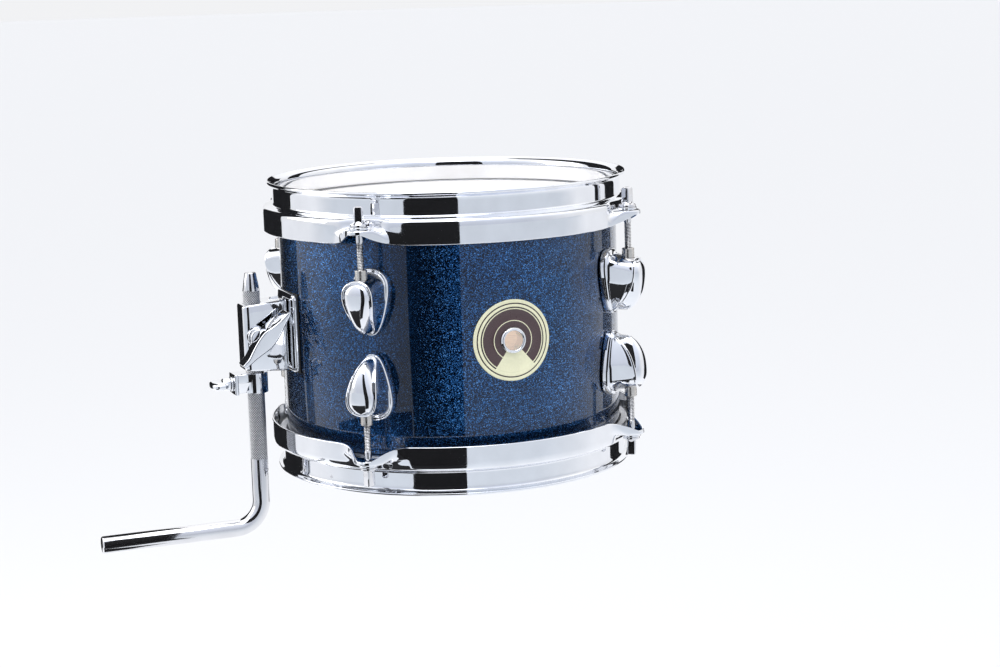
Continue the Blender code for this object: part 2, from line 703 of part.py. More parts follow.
def build_bracket_block(face_radius):
    """The hollow casting which the arm passes through, with a boss for the wing bolt."""
    inner = face_radius + GAP
    bm = bmesh.new()
    bmesh.ops.create_cube(bm, size=1.0)
    for vert in bm.verts:
        is_outer = vert.co.x < 0
        levels = BLOCK_OUTER_Z if is_outer else BLOCK_INNER_Z
        vert.co.x = -BLOCK_OUTER if is_outer else -inner
        vert.co.y *= 2 * BLOCK_HALF_WIDTH
        vert.co.z = levels[1] if vert.co.z > 0 else levels[0]
    block = place("bracket_block", mesh_from(bm, "bracket_block"), CHROME)
    round_edges(block, BLOCK_ROUND)
    across = (math.pi / 2, 0, 0)
    axis = (-ARM_OFFSET, 0, CLAMP_HEIGHT)
    boss = cylinder_mesh("boss", BOSS_RADIUS, BLOCK_HALF_WIDTH - 0.001, BOSS_END, 20)
    combine(block, as_cutter("boss", boss, location=axis, rotation=across), "UNION")
    bore = cylinder_mesh("arm_bore", ARM_BORE_RADIUS, -0.05, 0.05, 24)
    combine(block, as_cutter("arm_bore", bore, location=(-ARM_OFFSET, 0, 0)))
    half_x, half_z = JAW_HALF
    pocket_end = JAW_SEAT + JAW_THICKNESS + JAW_TRAVEL_ROOM
    pocket = box_mesh("jaw_pocket", (-half_x - GAP, -pocket_end, -half_z - GAP),
                      (half_x + GAP, -0.001, half_z + GAP))
    combine(block, as_cutter("jaw_pocket", pocket, location=axis))
    hole = cylinder_mesh("bolt_hole", BOLT_HOLE_RADIUS, 0.008, BOSS_END + 0.005, 16)
    combine(block, as_cutter("bolt_hole", hole, location=axis, rotation=across))


def build_clamp():
    """The jaw against the arm, and the wing bolt which presses it."""
    axis = (-ARM_OFFSET, 0, CLAMP_HEIGHT)
    half_x, half_z = JAW_HALF
    jaw = box_mesh("bracket_jaw", (-half_x, -JAW_SEAT - JAW_THICKNESS, -half_z),
                   (half_x, -JAW_SEAT, half_z))
    place("bracket_jaw", jaw, BRUSHED, axis)
    tip = JAW_SEAT + JAW_THICKNESS + GAP
    hub_start = BOSS_END + GAP
    hub_end = hub_start + HUB_LENGTH
    profile = [(0.0, hub_end + 0.001), (HUB_RADIUS - 0.0008, hub_end + 0.001),
               (HUB_RADIUS, hub_start), (BOLT_RADIUS, hub_start), (BOLT_RADIUS, tip),
               (0.0, tip)]
    bolt = turned("wing_bolt", profile, CHROME, 16, location=axis,
                  rotation=(math.pi / 2, 0, 0))
    leaf = as_cutter("wing_leaf", plate_mesh("wing_leaf", wing_outline(), WING_THICKNESS),
                     location=(-ARM_OFFSET, -hub_end - WING_THICKNESS / 2, CLAMP_HEIGHT),
                     rotation=(math.pi / 2, WING_TILT, 0))
    round_edges(leaf, 0.0010, 1, math.radians(60))
    combine(bolt, leaf, "UNION")


def wing_outline():
    """A leaf with two wings, slightly swept like a propeller."""
    points = []
    steps = 10
    for side in (1, -1):
        for count in range(steps):
            along = side * math.cos(math.pi * count / steps)
            width = WING_TIP_WIDTH + (WING_HALF_WIDTH - WING_TIP_WIDTH) * (1 - along ** 2) ** 1.5
            round_off = math.sqrt(max(1 - along ** 6, 0.0))
            sweep = 0.0022 * math.sin(math.pi * along)
            points.append((WING_HALF_LENGTH * along, side * width * round_off + sweep))
    return points


# ---------------------------------------------------------------- arm and memory lock

def build_arm():
    """The bent rod: a horizontal leg from the origin, a bend, and an upright with a cone tip."""
    curve = bpy.data.curves.new("arm", "CURVE")
    curve.dimensions = "3D"
    curve.bevel_depth = ARM_RADIUS
    curve.bevel_resolution = 6
    curve.render_resolution_u = 0
    curve.use_fill_caps = True
    centre_x = -ARM_OFFSET - ARM_BEND
    centre_z = -ARM_LEG_DROP + ARM_BEND
    route = [(-ARM_OFFSET - ARM_LEG_LENGTH, -ARM_LEG_DROP, 1.0)]
    for count in range(ARM_BEND_STEPS + 1):
        turn = math.pi / 2 * count / ARM_BEND_STEPS
        route.append((centre_x + ARM_BEND * math.sin(turn),
                      centre_z - ARM_BEND * math.cos(turn), 1.0))
    route += [(-ARM_OFFSET, ARM_TOP - ARM_CONE, 1.0), (-ARM_OFFSET, ARM_TOP, ARM_TIP_RATIO)]
    spline = curve.splines.new("POLY")
    spline.points.add(len(route) - 1)
    for point, (x, z, radius) in zip(spline.points, route):
        point.co = (x, 0.0, z, 1.0)
        point.radius = radius
    place("arm", smooth(mesh_of_curve(curve)), CHROME)


def build_memory_lock():
    """The collar under the bracket, with a thumb bolt which holds it on the arm."""
    middle = (LOCK_TOP + LOCK_BOTTOM) / 2
    body = place("memory_lock", box_mesh("memory_lock", (-LOCK_OUTER, -LOCK_HALF_WIDTH,
                                                         LOCK_BOTTOM),
                                         (-ARM_OFFSET, LOCK_HALF_WIDTH, LOCK_TOP)), CHROME)
    round_edges(body, 0.0015)
    collar = cylinder_mesh("lock_collar", LOCK_COLLAR_RADIUS, LOCK_BOTTOM, LOCK_TOP, 24)
    combine(body, as_cutter("lock_collar", collar, location=(-ARM_OFFSET, 0, 0)), "UNION")
    bore = cylinder_mesh("lock_bore", ARM_BORE_RADIUS, LOCK_BOTTOM - 0.005, LOCK_TOP + 0.005,
                         24)
    combine(body, as_cutter("lock_bore", bore, location=(-ARM_OFFSET, 0, 0)))
    outwards = (0, -math.pi / 2, 0)
    hole = cylinder_mesh("lock_bolt_hole", BOLT_HOLE_RADIUS, ARM_OFFSET, LOCK_OUTER + 0.005, 16)
    combine(body, as_cutter("lock_bolt_hole", hole, location=(0, 0, middle), rotation=outwards))
    washer_high = LOCK_OUTER + GAP + LOCK_WASHER_THICKNESS
    washer = ring_profile(BOLT_HOLE_RADIUS, LOCK_WASHER_RADIUS, LOCK_OUTER + GAP, washer_high)
    turned("memory_lock_washer", washer, CHROME, 16, ring=True, location=(0, 0, middle),
           rotation=outwards)
    neck = washer_high + GAP
    profile = [(0.0, THUMB_START + 0.002), (BOLT_RADIUS, THUMB_START + 0.002),
               (BOLT_RADIUS + 0.001, neck), (BOLT_RADIUS, neck), (BOLT_RADIUS, LOCK_BOLT_TIP),
               (0.0, LOCK_BOLT_TIP)]
    bolt = turned("memory_lock_bolt", profile, CHROME, 16, location=(0, 0, middle),
                  rotation=outwards)
    thumb = plate_mesh("thumb", thumb_outline(), 2 * THUMB_HALF_THICKNESS)
    thumb = as_cutter("thumb", thumb, location=(0, 0, middle))
    round_edges(thumb, 0.0016, 2, math.radians(60))
    combine(bolt, thumb, "UNION")


def thumb_outline():
    """A rounded lozenge, wider across the bolt than along it."""
    middle = -(THUMB_START + THUMB_END) / 2
    half = (THUMB_END - THUMB_START) / 2
    steps = 20
    points = []
    for count in range(steps):
        turn = 2 * math.pi * count / steps
        points.append((middle + half * math.cos(turn), THUMB_HALF_WIDTH * math.sin(turn)))
    return points


# ---------------------------------------------------------------- the whole drum

def build_drum():
    shell = build_shell()
    wrap = build_wrap()
    build_heads()
    build_hoops()
    build_lugs()
    build_swivel_nuts()
    build_tension_rods()
    build_badge()
    vent = build_grommet()
    holes = screw_holes()
    for piece in (shell, wrap):
        combine(piece, vent)
        combine(piece, holes)
    face_radius = build_bracket_plates(holes)
    build_bracket_block(face_radius)
    build_clamp()
    build_arm()
    build_memory_lock()


build_drum()
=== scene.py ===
import json
import math

import bmesh
import bpy
from mathutils import Matrix, Vector


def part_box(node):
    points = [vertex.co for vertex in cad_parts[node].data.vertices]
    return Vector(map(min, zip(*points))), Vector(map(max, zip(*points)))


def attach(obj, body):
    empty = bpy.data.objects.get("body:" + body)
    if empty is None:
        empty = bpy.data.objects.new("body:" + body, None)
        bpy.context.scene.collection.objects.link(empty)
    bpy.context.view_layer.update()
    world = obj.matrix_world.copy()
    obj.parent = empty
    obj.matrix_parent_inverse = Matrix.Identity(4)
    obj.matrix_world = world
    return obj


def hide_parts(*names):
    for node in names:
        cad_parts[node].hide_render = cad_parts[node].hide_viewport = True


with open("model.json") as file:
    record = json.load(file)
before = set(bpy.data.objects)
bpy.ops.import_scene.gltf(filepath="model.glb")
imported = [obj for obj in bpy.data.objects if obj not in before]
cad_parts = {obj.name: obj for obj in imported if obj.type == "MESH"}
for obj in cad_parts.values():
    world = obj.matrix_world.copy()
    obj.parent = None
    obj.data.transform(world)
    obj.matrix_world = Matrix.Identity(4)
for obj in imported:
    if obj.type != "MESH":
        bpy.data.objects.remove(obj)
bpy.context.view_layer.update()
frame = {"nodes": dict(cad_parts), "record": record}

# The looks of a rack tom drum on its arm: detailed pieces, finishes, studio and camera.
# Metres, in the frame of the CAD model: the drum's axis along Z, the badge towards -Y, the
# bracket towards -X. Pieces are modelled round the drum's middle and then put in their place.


# ---------------------------------------------------------------- sizes from the frame

def middle(node):
    low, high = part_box(node)
    return (low + high) / 2


def extent(node):
    low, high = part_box(node)
    return high - low


DRUM = middle("shell")


def heights(node):
    """Lowest and highest point of a node, from the drum's middle."""
    return tuple(corner.z - DRUM.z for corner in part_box(node))


SHELL_RADIUS = extent("shell_wrap").x / 2
WRAP_HALF = extent("shell_wrap").z / 2
WRAP_THICKNESS = 0.0005
FILM_FOOT, FILM_TOP = heights("batter_film")
FILM_RADIUS = extent("batter_film").x / 2
FILM_THICKNESS = 0.0004
HOOP_TOP = heights("batter_hoop")[1]

ROD_SPOT = middle("batter_tension_rod_1") - DRUM
ROD_FROM_AXIS = ROD_SPOT.xy.length
FIRST_STATION = math.atan2(ROD_SPOT.y, ROD_SPOT.x)
STATIONS = [FIRST_STATION + index * math.pi / 2 for index in range(4)]
ROD_END, ROD_TOP = heights("batter_tension_rod_1")
WASHER_LOW, WASHER_HIGH = heights("batter_rod_washer_1")
EAR_SEAT = WASHER_LOW - 0.0003

ARM_RADIUS = extent("arm").y / 2
ARM_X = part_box("arm")[1].x - ARM_RADIUS - DRUM.x
ARM_TOP = heights("arm")[1]
ARM_BORE = ARM_RADIUS + 0.00033
LEG_Z = heights("arm")[0] + ARM_RADIUS
LEG_START = -DRUM.x

VENT_HOLE = 0.0079
FACE_ON = math.radians(35)      # sharp edges are steeper than this


# ---------------------------------------------------------------- mesh tools

def skin(name, rings, wrap=False, closed=True, caps=True, sharp=FACE_ON):
    """Quads over rings of points. wrap joins the last ring to the first, and closed the ends
    of each ring; caps closes the first and last ring with a face."""
    bm = bmesh.new()
    rows = [[bm.verts.new(point) for point in ring] for ring in rings]
    pairs = list(zip(rows, rows[1:])) + ([(rows[-1], rows[0])] if wrap else [])
    count = len(rows[0])
    for low, high in pairs:
        for index in range(0 if closed else 1, count):
            bm.faces.new((low[index - 1], low[index], high[index], high[index - 1]))
    if caps and not wrap:
        bm.faces.new(rows[0])
        bm.faces.new(rows[-1])
    return finished(bm, name, sharp)


def finished(bm, name, sharp=FACE_ON):
    """Weld, turn the faces outwards and shade smooth between sharp edges."""
    bmesh.ops.remove_doubles(bm, verts=bm.verts, dist=1e-7)
    bmesh.ops.recalc_face_normals(bm, faces=bm.faces)
    mesh = bpy.data.meshes.new(name)
    bm.to_mesh(mesh)
    bm.free()
    mesh.shade_smooth()
    mesh.set_sharp_from_angle(angle=sharp)
    return mesh


def turned(name, profile, steps=64, ring=True, sharp=FACE_ON):
    """A profile of (radius, height) points turned about Z. An open one ends on the axis."""
    rings = []
    for count in range(steps):
        angle = 2 * math.pi * count / steps
        rings.append([(r * math.cos(angle), r * math.sin(angle), z) for r, z in profile])
    return skin(name, rings, wrap=True, closed=ring, sharp=sharp)


def rounded(points, radius, steps=4, closed=True):
    """The same outline with its corners rounded. A third value in a point is its own radius."""
    out = []
    last = len(points) - 1
    for index, point in enumerate(points):
        corner = Vector(point[:2])
        own = point[2] if len(point) > 2 else radius
        if own == 0 or (not closed and index in (0, last)):
            out.append(tuple(corner))
            continue
        before = Vector(points[index - 1][:2]) - corner
        after = Vector(points[(index + 1) % len(points)][:2]) - corner
        start = corner + before.normalized() * min(own, before.length * 0.49)
        end = corner + after.normalized() * min(own, after.length * 0.49)
        for step in range(steps + 1):
            t = step / steps
            out.append(tuple(start.lerp(corner, t).lerp(corner.lerp(end, t), t)))
    return out


def ease(value):
    value = min(max(value, 0.0), 1.0)
    return value * value * (3 - 2 * value)


def mix(a, b, share):
    return a + (b - a) * share


def box_mesh(name, low, high, bevel, segments=4, shape=None, first=None, first_bevel=0.0):
    """A box with rounded edges. shape may move each corner before the rounding, and the edges
    picked by first get a rounding of their own."""
    bm = bmesh.new()
    size = [b - a for a, b in zip(low, high)]
    spot = [(a + b) / 2 for a, b in zip(low, high)]
    bmesh.ops.create_cube(bm, size=1.0, matrix=Matrix.LocRotScale(spot, None, size))
    if shape:
        for vert in bm.verts:
            vert.co = shape(vert.co.copy())
    if first:
        bmesh.ops.bevel(bm, geom=[edge for edge in bm.edges if first(edge)],
                        offset=first_bevel, segments=8, profile=0.5, affect="EDGES")
    rims = [edge for edge in bm.edges if edge.calc_face_angle() > math.radians(30)]
    bmesh.ops.bevel(bm, geom=rims, offset=bevel, segments=segments, profile=0.5,
                    affect="EDGES")
    return finished(bm, name, math.radians(60))


def joined(name, parts, sharp=FACE_ON):
    """Several meshes, each with its place, as one mesh."""
    bm = bmesh.new()
    for mesh, matrix in parts:
        mesh.transform(matrix)
        bm.from_mesh(mesh)
        bpy.data.meshes.remove(mesh)
    mesh = bpy.data.meshes.new(name)
    bm.to_mesh(mesh)
    bm.free()
    mesh.shade_smooth()
    mesh.set_sharp_from_angle(angle=sharp)
    return mesh


def mark(mesh, material, chosen):
    """Give a second material to the faces whose middle is chosen."""
    mesh.materials.append(material)
    for face in mesh.polygons:
        if chosen(face.center):
            face.material_index = len(mesh.materials) - 1


def carve(mesh, others, operation="DIFFERENCE"):
    """The mesh with others cut from it or joined to it, as a new mesh."""
    made = []
    for item in [mesh] + others:
        obj = bpy.data.objects.new("carving", item)
        bpy.context.scene.collection.objects.link(obj)
        made.append(obj)
    for other in made[1:]:
        modifier = made[0].modifiers.new("Carve", "BOOLEAN")
        modifier.operation = operation
        modifier.object = other
        modifier.solver = "EXACT"
    depsgraph = bpy.context.evaluated_depsgraph_get()
    out = bpy.data.meshes.new_from_object(made[0].evaluated_get(depsgraph),
                                          depsgraph=depsgraph)
    for obj in made:
        data = obj.data
        bpy.data.objects.remove(obj)
        bpy.data.meshes.remove(data)
    out.shade_smooth()
    out.set_sharp_from_angle(angle=FACE_ON)
    return out


def lathed(name, points, steps, segments=4):
    """A solid turned about Z. Its outline ends on the axis, and a point's third value rounds it."""
    return turned(name, rounded(points, 0, segments, closed=False), steps, ring=False)


def rod_mesh(name, radius, low, high, steps=32, bevel=0.0003):
    """A plain round bar along Z with softened ends."""
    return lathed(name, [(0.0, high, 0), (radius, high, bevel), (radius, low, bevel),
                         (0.0, low, 0)], steps)


def washer_mesh(name, inner, outer, low, high):
    """A flat ring along Z with softened edges."""
    return turned(name, rounded([(outer, high), (outer, low), (inner, low), (inner, high)],
                                0.0004), 48)


# ---------------------------------------------------------------- finishes

class Nodes:
    """Short ways to add and link the nodes of a tree."""

    def __init__(self, tree):
        self.tree = tree

    def set(self, node, socket, value):
        socket = node.inputs[socket.replace("_", " ")]
        if isinstance(value, bpy.types.NodeSocket):
            self.tree.links.new(value, socket)
        elif isinstance(value, tuple) and len(value) == 3 and socket.type == "RGBA":
            socket.default_value = (*value, 1.0)
        else:
            socket.default_value = value

    def node(self, kind, settings=None, **sockets):
        made = self.tree.nodes.new(kind)
        for key, value in (settings or {}).items():
            setattr(made, key, value)
        for socket, value in sockets.items():
            self.set(made, socket, value)
        return made

    def ranged(self, value, low, high, start=0.3, end=0.7, curve="LINEAR"):
        made = self.node("ShaderNodeMapRange", {"interpolation_type": curve}, Value=value,
                         From_Min=start, From_Max=end, To_Min=low, To_Max=high)
        return made.outputs["Result"]

    def blend(self, share, first, second):
        made = self.node("ShaderNodeMix", {"data_type": "RGBA"})
        for index, value in ((0, share), (6, first), (7, second)):
            if isinstance(value, tuple):
                made.inputs[index].default_value = (*value, 1.0)
            else:
                self.tree.links.new(value, made.inputs[index])
        return made.outputs[2]

    def vector(self, operation, first, second=None):
        made = self.node("ShaderNodeVectorMath", {"operation": operation})
        other = made.inputs["Scale" if operation == "SCALE" else 1]
        self.tree.links.new(first, made.inputs[0])
        if isinstance(second, bpy.types.NodeSocket):
            self.tree.links.new(second, other)
        elif second is not None:
            other.default_value = second
        return made.outputs["Value" if operation in ("DOT_PRODUCT", "LENGTH") else "Vector"]


class Finish(Nodes):
    """A Principled material, with procedural patterns in the piece's own space."""

    def __init__(self, name, **sockets):
        self.material = bpy.data.materials.new(name)
        self.material.use_nodes = True
        super().__init__(self.material.node_tree)
        self.shader = self.tree.nodes["Principled BSDF"]
        self.use(**sockets)
        self.place = self.node("ShaderNodeTexCoord").outputs["Object"]

    def stretched(self, scale):
        return self.node("ShaderNodeMapping", Vector=self.place, Scale=scale).outputs["Vector"]

    def noise(self, scale, detail=4.0, where=None):
        made = self.node("ShaderNodeTexNoise", Vector=where or self.place, Scale=scale,
                         Detail=detail)
        return made.outputs["Fac"]

    def distance_from(self, x):
        """Distance from an axis along local Z at the given local x."""
        spot = self.node("ShaderNodeMapping", Vector=self.place, Location=(-x, 0.0, 0.0),
                         Scale=(1.0, 1.0, 0.0))
        return self.vector("LENGTH", spot.outputs["Vector"])

    def bump(self, height, strength, distance, under=None):
        made = self.node("ShaderNodeBump", Height=height, Strength=strength,
                         Distance=distance)
        if under:
            self.set(made, "Normal", under)
        return made.outputs["Normal"]

    def use(self, **sockets):
        for socket, value in sockets.items():
            self.set(self.shader, socket, value)
        return self.material


def polished_metal(name, colour, roughness, handled):
    """Bright plate: faint waviness, cloudy haze and a little handling wear."""
    finish = Finish(name, Metallic=1.0)
    haze = finish.noise(70.0, 5.0)
    wear = finish.noise(1800.0, 3.0)
    dull = tuple(value * 0.93 for value in colour)
    waves = finish.bump(finish.noise(45.0, 2.0), 0.03, 0.0004)
    grain = finish.bump(wear, 0.02, 0.00005, waves)
    return finish.use(Base_Color=finish.blend(finish.ranged(haze, 0.0, 1.0), colour, dull),
                      Roughness=finish.ranged(haze, roughness, roughness + handled),
                      Normal=grain)


def turned_metal(name, colour, roughness):
    """Dull plate with fine machining lines and a mottled bloom."""
    finish = Finish(name, Metallic=1.0)
    lines = finish.noise(900.0, 3.0, finish.stretched((0.12, 0.12, 4.0)))
    bloom = finish.noise(260.0, 5.0)
    dark = tuple(value * 0.72 for value in colour)
    return finish.use(Base_Color=finish.blend(finish.ranged(bloom, 0.0, 0.8), colour, dark),
                      Roughness=finish.ranged(lines, roughness, roughness + 0.16),
                      Normal=finish.bump(lines, 0.18, 0.0001))


def grooved_metal(name, axis_x, root, crest, groove, roughness):
    """Plate whose cut grooves, nearer to the axis than the crests, are painted dark as shade and
    are dull.
    """
    finish = Finish(name, Metallic=1.0)
    # Painted shade: the colour darkens from the crests down into the groove roots.
    height = finish.ranged(finish.distance_from(axis_x), 0.0, 1.0, root, crest)
    grime = finish.noise(900.0, 3.0)
    return finish.use(Base_Color=finish.blend(height, groove, (0.93, 0.93, 0.94)),
                      Roughness=finish.ranged(grime, roughness, roughness + 0.18),
                      Normal=finish.bump(grime, 0.05, 0.00005))


def sparkle_wrap():
    """Glitter flakes of random shade and tilt under a thick clear gloss coat."""
    finish = Finish("sparkle", Coat_Weight=1.0, Coat_Roughness=0.02, Coat_IOR=1.46,
                    Metallic=1.0, Roughness=0.26)
    flakes = finish.node("ShaderNodeTexVoronoi", Vector=finish.place, Scale=2300.0)
    parts = finish.node("ShaderNodeSeparateColor", Color=flakes.outputs["Color"])
    ramp = finish.node("ShaderNodeValToRGB", Fac=parts.outputs["Red"])
    stops = ((0.0, (0.001, 0.004, 0.011)), (0.45, (0.003, 0.014, 0.040)),
             (0.65, (0.008, 0.040, 0.12)), (0.82, (0.020, 0.105, 0.30)),
             (0.94, (0.050, 0.23, 0.62)), (1.0, (0.16, 0.44, 0.92)))
    elements = ramp.color_ramp.elements
    while len(elements) < len(stops):
        elements.new(0.5)
    for element, (spot, colour) in zip(elements, stops):
        element.position = spot
        element.color = (*colour, 1.0)
    cloud = finish.ranged(finish.noise(28.0, 2.0), 0.82, 1.12)
    shade = finish.vector("SCALE", ramp.outputs["Color"], cloud)
    tilt = finish.vector("SUBTRACT", flakes.outputs["Color"], (0.5, 0.5, 0.5))
    facing = finish.node("ShaderNodeNewGeometry").outputs["Normal"]
    tipped = finish.vector("ADD", facing, finish.vector("SCALE", tilt, 0.42))
    coat = finish.bump(finish.noise(60.0, 2.0), 0.015, 0.0004)
    return finish.use(Base_Color=shade, Normal=finish.vector("NORMALIZE", tipped),
                      Coat_Normal=coat)


def coated_film():
    """Off-white film with a fine sprayed coating, a little cloudy."""
    finish = Finish("coated_film", Roughness=0.48, IOR=1.5, Subsurface_Weight=0.25,
                    Subsurface_Radius=(0.004, 0.004, 0.003), Subsurface_Scale=1.0)
    cloud = finish.noise(22.0, 6.0)
    spray = finish.noise(2600.0, 3.0)
    colour = finish.blend(finish.ranged(cloud, 0.0, 1.0), (0.85, 0.83, 0.79),
                          (0.79, 0.765, 0.71))
    return finish.use(Base_Color=colour, Roughness=finish.ranged(spray, 0.38, 0.62),
                      Normal=finish.bump(spray, 0.25, 0.00012))


def plywood():
    """Maple with long grain round the shell, with a painted glow (emission) standing in for the
    light that the heads let through.
    """
    # Painted glow: the near-white emission brightens the maple as if it were lit through the heads.
    finish = Finish("maple", Emission_Color=(0.94, 0.95, 0.95), Emission_Strength=0.42)
    grain = finish.noise(60.0, 8.0, finish.stretched((1.0, 1.0, 14.0)))
    pores = finish.noise(900.0, 2.0, finish.stretched((0.2, 0.2, 3.0)))
    pale = finish.blend(finish.ranged(grain, 0.0, 1.0), (0.66, 0.45, 0.25),
                        (0.45, 0.27, 0.13))
    return finish.use(Base_Color=pale, Roughness=finish.ranged(pores, 0.42, 0.62),
                      Normal=finish.bump(pores, 0.3, 0.0002))


def enamel(name, colour, roughness=0.22):
    """Baked enamel with a slight orange peel and dust in its gloss."""
    finish = Finish(name, IOR=1.5, Coat_Weight=0.4, Coat_Roughness=0.08)
    cloud = finish.noise(160.0, 4.0)
    deep = tuple(value * 0.88 for value in colour)
    return finish.use(Base_Color=finish.blend(finish.ranged(cloud, 0.0, 1.0), colour, deep),
                      Roughness=finish.ranged(cloud, roughness, roughness + 0.12),
                      Normal=finish.bump(finish.noise(700.0, 2.0), 0.06, 0.0001))


def rubber():
    finish = Finish("rubber", IOR=1.45)
    grain = finish.noise(1600.0, 4.0)
    shade = finish.blend(finish.ranged(grain, 0.0, 1.0), (0.018, 0.018, 0.019),
                         (0.045, 0.044, 0.043))
    return finish.use(Base_Color=shade, Roughness=finish.ranged(grain, 0.55, 0.8),
                      Normal=finish.bump(grain, 0.4, 0.0001))


CHROME = polished_metal("chrome_plate", (0.90, 0.915, 0.95), 0.018, 0.035)
ROD_CHROME = polished_metal("rod_plate", (0.80, 0.80, 0.82), 0.05, 0.06)
# The dark groove colours of the thread and the knurl are painted shade.
THREAD = grooved_metal("thread_plate", 0.0, 0.00215, 0.00246,
                       (0.07, 0.07, 0.075), 0.16)
KNURL = grooved_metal("knurl_plate", ARM_X, ARM_RADIUS - 0.00030, ARM_RADIUS - 0.00014,
                      (0.16, 0.16, 0.175), 0.36)
NICKEL = turned_metal("dull_nickel", (0.74, 0.71, 0.67), 0.20)
ZINC = turned_metal("zinc_plate", (0.62, 0.62, 0.60), 0.34)
ALUMINIUM = turned_metal("aluminium_rim", (0.75, 0.76, 0.78), 0.30)
SPARKLE = sparkle_wrap()
FILM = coated_film()
MAPLE = plywood()
CREAM = enamel("cream_enamel", (0.96, 0.93, 0.63))
PLUM = enamel("plum_enamel", (0.075, 0.040, 0.042))
INK = enamel("dark_line", (0.035, 0.022, 0.026))
RUBBER = rubber()


# ---------------------------------------------------------------- putting pieces in place

UPRIGHT = Matrix.Identity(4)
TURNED_OVER = Matrix.Rotation(math.pi, 4, "X")
SIDES = (("batter", UPRIGHT), ("resonant", TURNED_OVER))


def add_piece(name, mesh, material, body, stands_for, spot=UPRIGHT):
    """An object in the drum's frame which rides on a body and stands for a CAD node."""
    if material and not mesh.materials:
        mesh.materials.append(material)
    obj = bpy.data.objects.new(name, mesh)
    bpy.context.scene.collection.objects.link(obj)
    obj.matrix_world = Matrix.Translation(DRUM) @ spot
    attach(obj, body)
    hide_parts(stands_for)
    return obj


def at_station(side_turn, angle, radius):
    """A spot beside the shell: local Z along the drum, local X away from its axis."""
    out = Vector((radius * math.cos(angle), radius * math.sin(angle), 0.0))
    facing = Matrix.Rotation(angle, 4, "Z") @ side_turn
    return Matrix.Translation(out) @ facing


def repeat(kind, node, mesh, material, radius, body="drum", turns=(0, 0, 0, 0)):
    """One copy of the mesh at each station, batter side and resonant side."""
    for side, side_turn in SIDES:
        for index, angle in enumerate(STATIONS):
            number = index + 1
            spot = at_station(side_turn, angle, radius)
            add_piece(f"{kind}_{side}_{number}", mesh, material,
                      body.format(side=side, number=number), f"{side}_{node}_{number}",
                      spot @ Matrix.Rotation(turns[index], 4, "Z"))


# ---------------------------------------------------------------- shell and heads

def build_wrap():
    inside = SHELL_RADIUS - WRAP_THICKNESS
    outline = rounded([(SHELL_RADIUS, WRAP_HALF), (SHELL_RADIUS, -WRAP_HALF),
                       (inside, -WRAP_HALF), (inside, WRAP_HALF)], 0.00015, 2)
    sleeve = turned("wrap", outline, 288)
    vent = rod_mesh("vent_cut", VENT_HOLE, SHELL_RADIUS - 0.006, SHELL_RADIUS + 0.006)
    vent.transform(Matrix.Rotation(math.pi / 2, 4, "X"))
    add_piece("sparkle_covering", carve(sleeve, [vent]), SPARKLE, "drum",
              "shell_wrap")


def build_heads():
    """Film with a rounded collar, a flat middle and a folded rim."""
    shoulder = FILM_RADIUS - 0.0010
    top = [(0.0, FILM_TOP, 0), (shoulder, FILM_TOP, 0.0005),
           (FILM_RADIUS, FILM_TOP - 0.0006, 0.0005), (FILM_RADIUS, FILM_FOOT, 0)]
    under = [(r - FILM_THICKNESS, z - (FILM_THICKNESS if z > FILM_FOOT else 0), *own)
             for r, z, *own in reversed(top[1:])] + [(0.0, FILM_TOP - FILM_THICKNESS, 0)]
    mesh = lathed("film", top + under, 144, 5)
    for side, side_turn in SIDES:
        add_piece(f"{side}_head_film", mesh, FILM, f"{side}_rim",
                  f"{side}_film", side_turn)


# ---------------------------------------------------------------- counter hoops

STEEL = 0.0023
BAND = 0.1306                   # outside of the upright band
SKIRT = 0.1385                  # outside of the hanging skirt
LIP = 0.1343                    # edge of the turned-out lip
BAND_FOOT = 0.0909              # heights above the drum's middle
SKIRT_END = 0.0721
EAR_END = 0.0806
EAR_BULGE = 0.0158              # how far an ear stands out past the skirt
EAR_BULGE_REACH = 0.0340
EAR_FLAT = 0.0095
EAR_SEAT_REACH = 0.0200
EAR_LIFT_START = 0.0045
EAR_LIFT_REACH = 0.0330
HOOP_COLUMNS = 400


def hoop_path(distance):
    """Outer face of the hoop's sheet, from lip to lower edge, by distance from an ear."""
    seat = ease((EAR_SEAT_REACH - distance) / (EAR_SEAT_REACH - EAR_FLAT))
    away = max((distance - EAR_LIFT_START) / (EAR_LIFT_REACH - EAR_LIFT_START), 0.0)
    lift = max(1 - away * away / (away + 0.03), 0.0) ** 3
    lobe = 0.0
    if distance < EAR_BULGE_REACH:
        lobe = math.cos(math.pi * distance / (2 * EAR_BULGE_REACH)) ** 5
    root = mix(SKIRT, SKIRT - 0.0019, seat)
    edge = SKIRT + EAR_BULGE * lobe
    return [
        (LIP, HOOP_TOP - 0.0008), (BAND + 0.0008, HOOP_TOP - 0.0021),
        (BAND, HOOP_TOP - 0.0037), (BAND, BAND_FOOT + 0.0081),
        (BAND, BAND_FOOT + 0.0031), (BAND, BAND_FOOT), (BAND + 0.0028, BAND_FOOT - 0.0006),
        (mix(SKIRT - 0.0006, SKIRT - 0.0025, seat), mix(0.0886, 0.0892, seat)),
        (root, mix(0.0850, EAR_SEAT, seat)),
        (mix(SKIRT, SKIRT + 0.0015, lobe), mix(0.0810, EAR_SEAT, seat)),
        (SKIRT + (EAR_BULGE - 0.0030) * lobe, mix(0.0780, EAR_SEAT, seat)),
        (edge, mix(0.0750, EAR_SEAT, seat)),
        (edge, mix(SKIRT_END, EAR_END, lift)),
    ]


def softened(path, rounds=3):
    """Corner cutting, which keeps the two ends."""
    for _ in range(rounds):
        out = [path[0]]
        for (r0, z0), (r1, z1) in zip(path, path[1:]):
            out.append((mix(r0, r1, 0.25), mix(z0, z1, 0.25)))
            out.append((mix(r0, r1, 0.75), mix(z0, z1, 0.75)))
        path = out + [path[-1]]
    return path


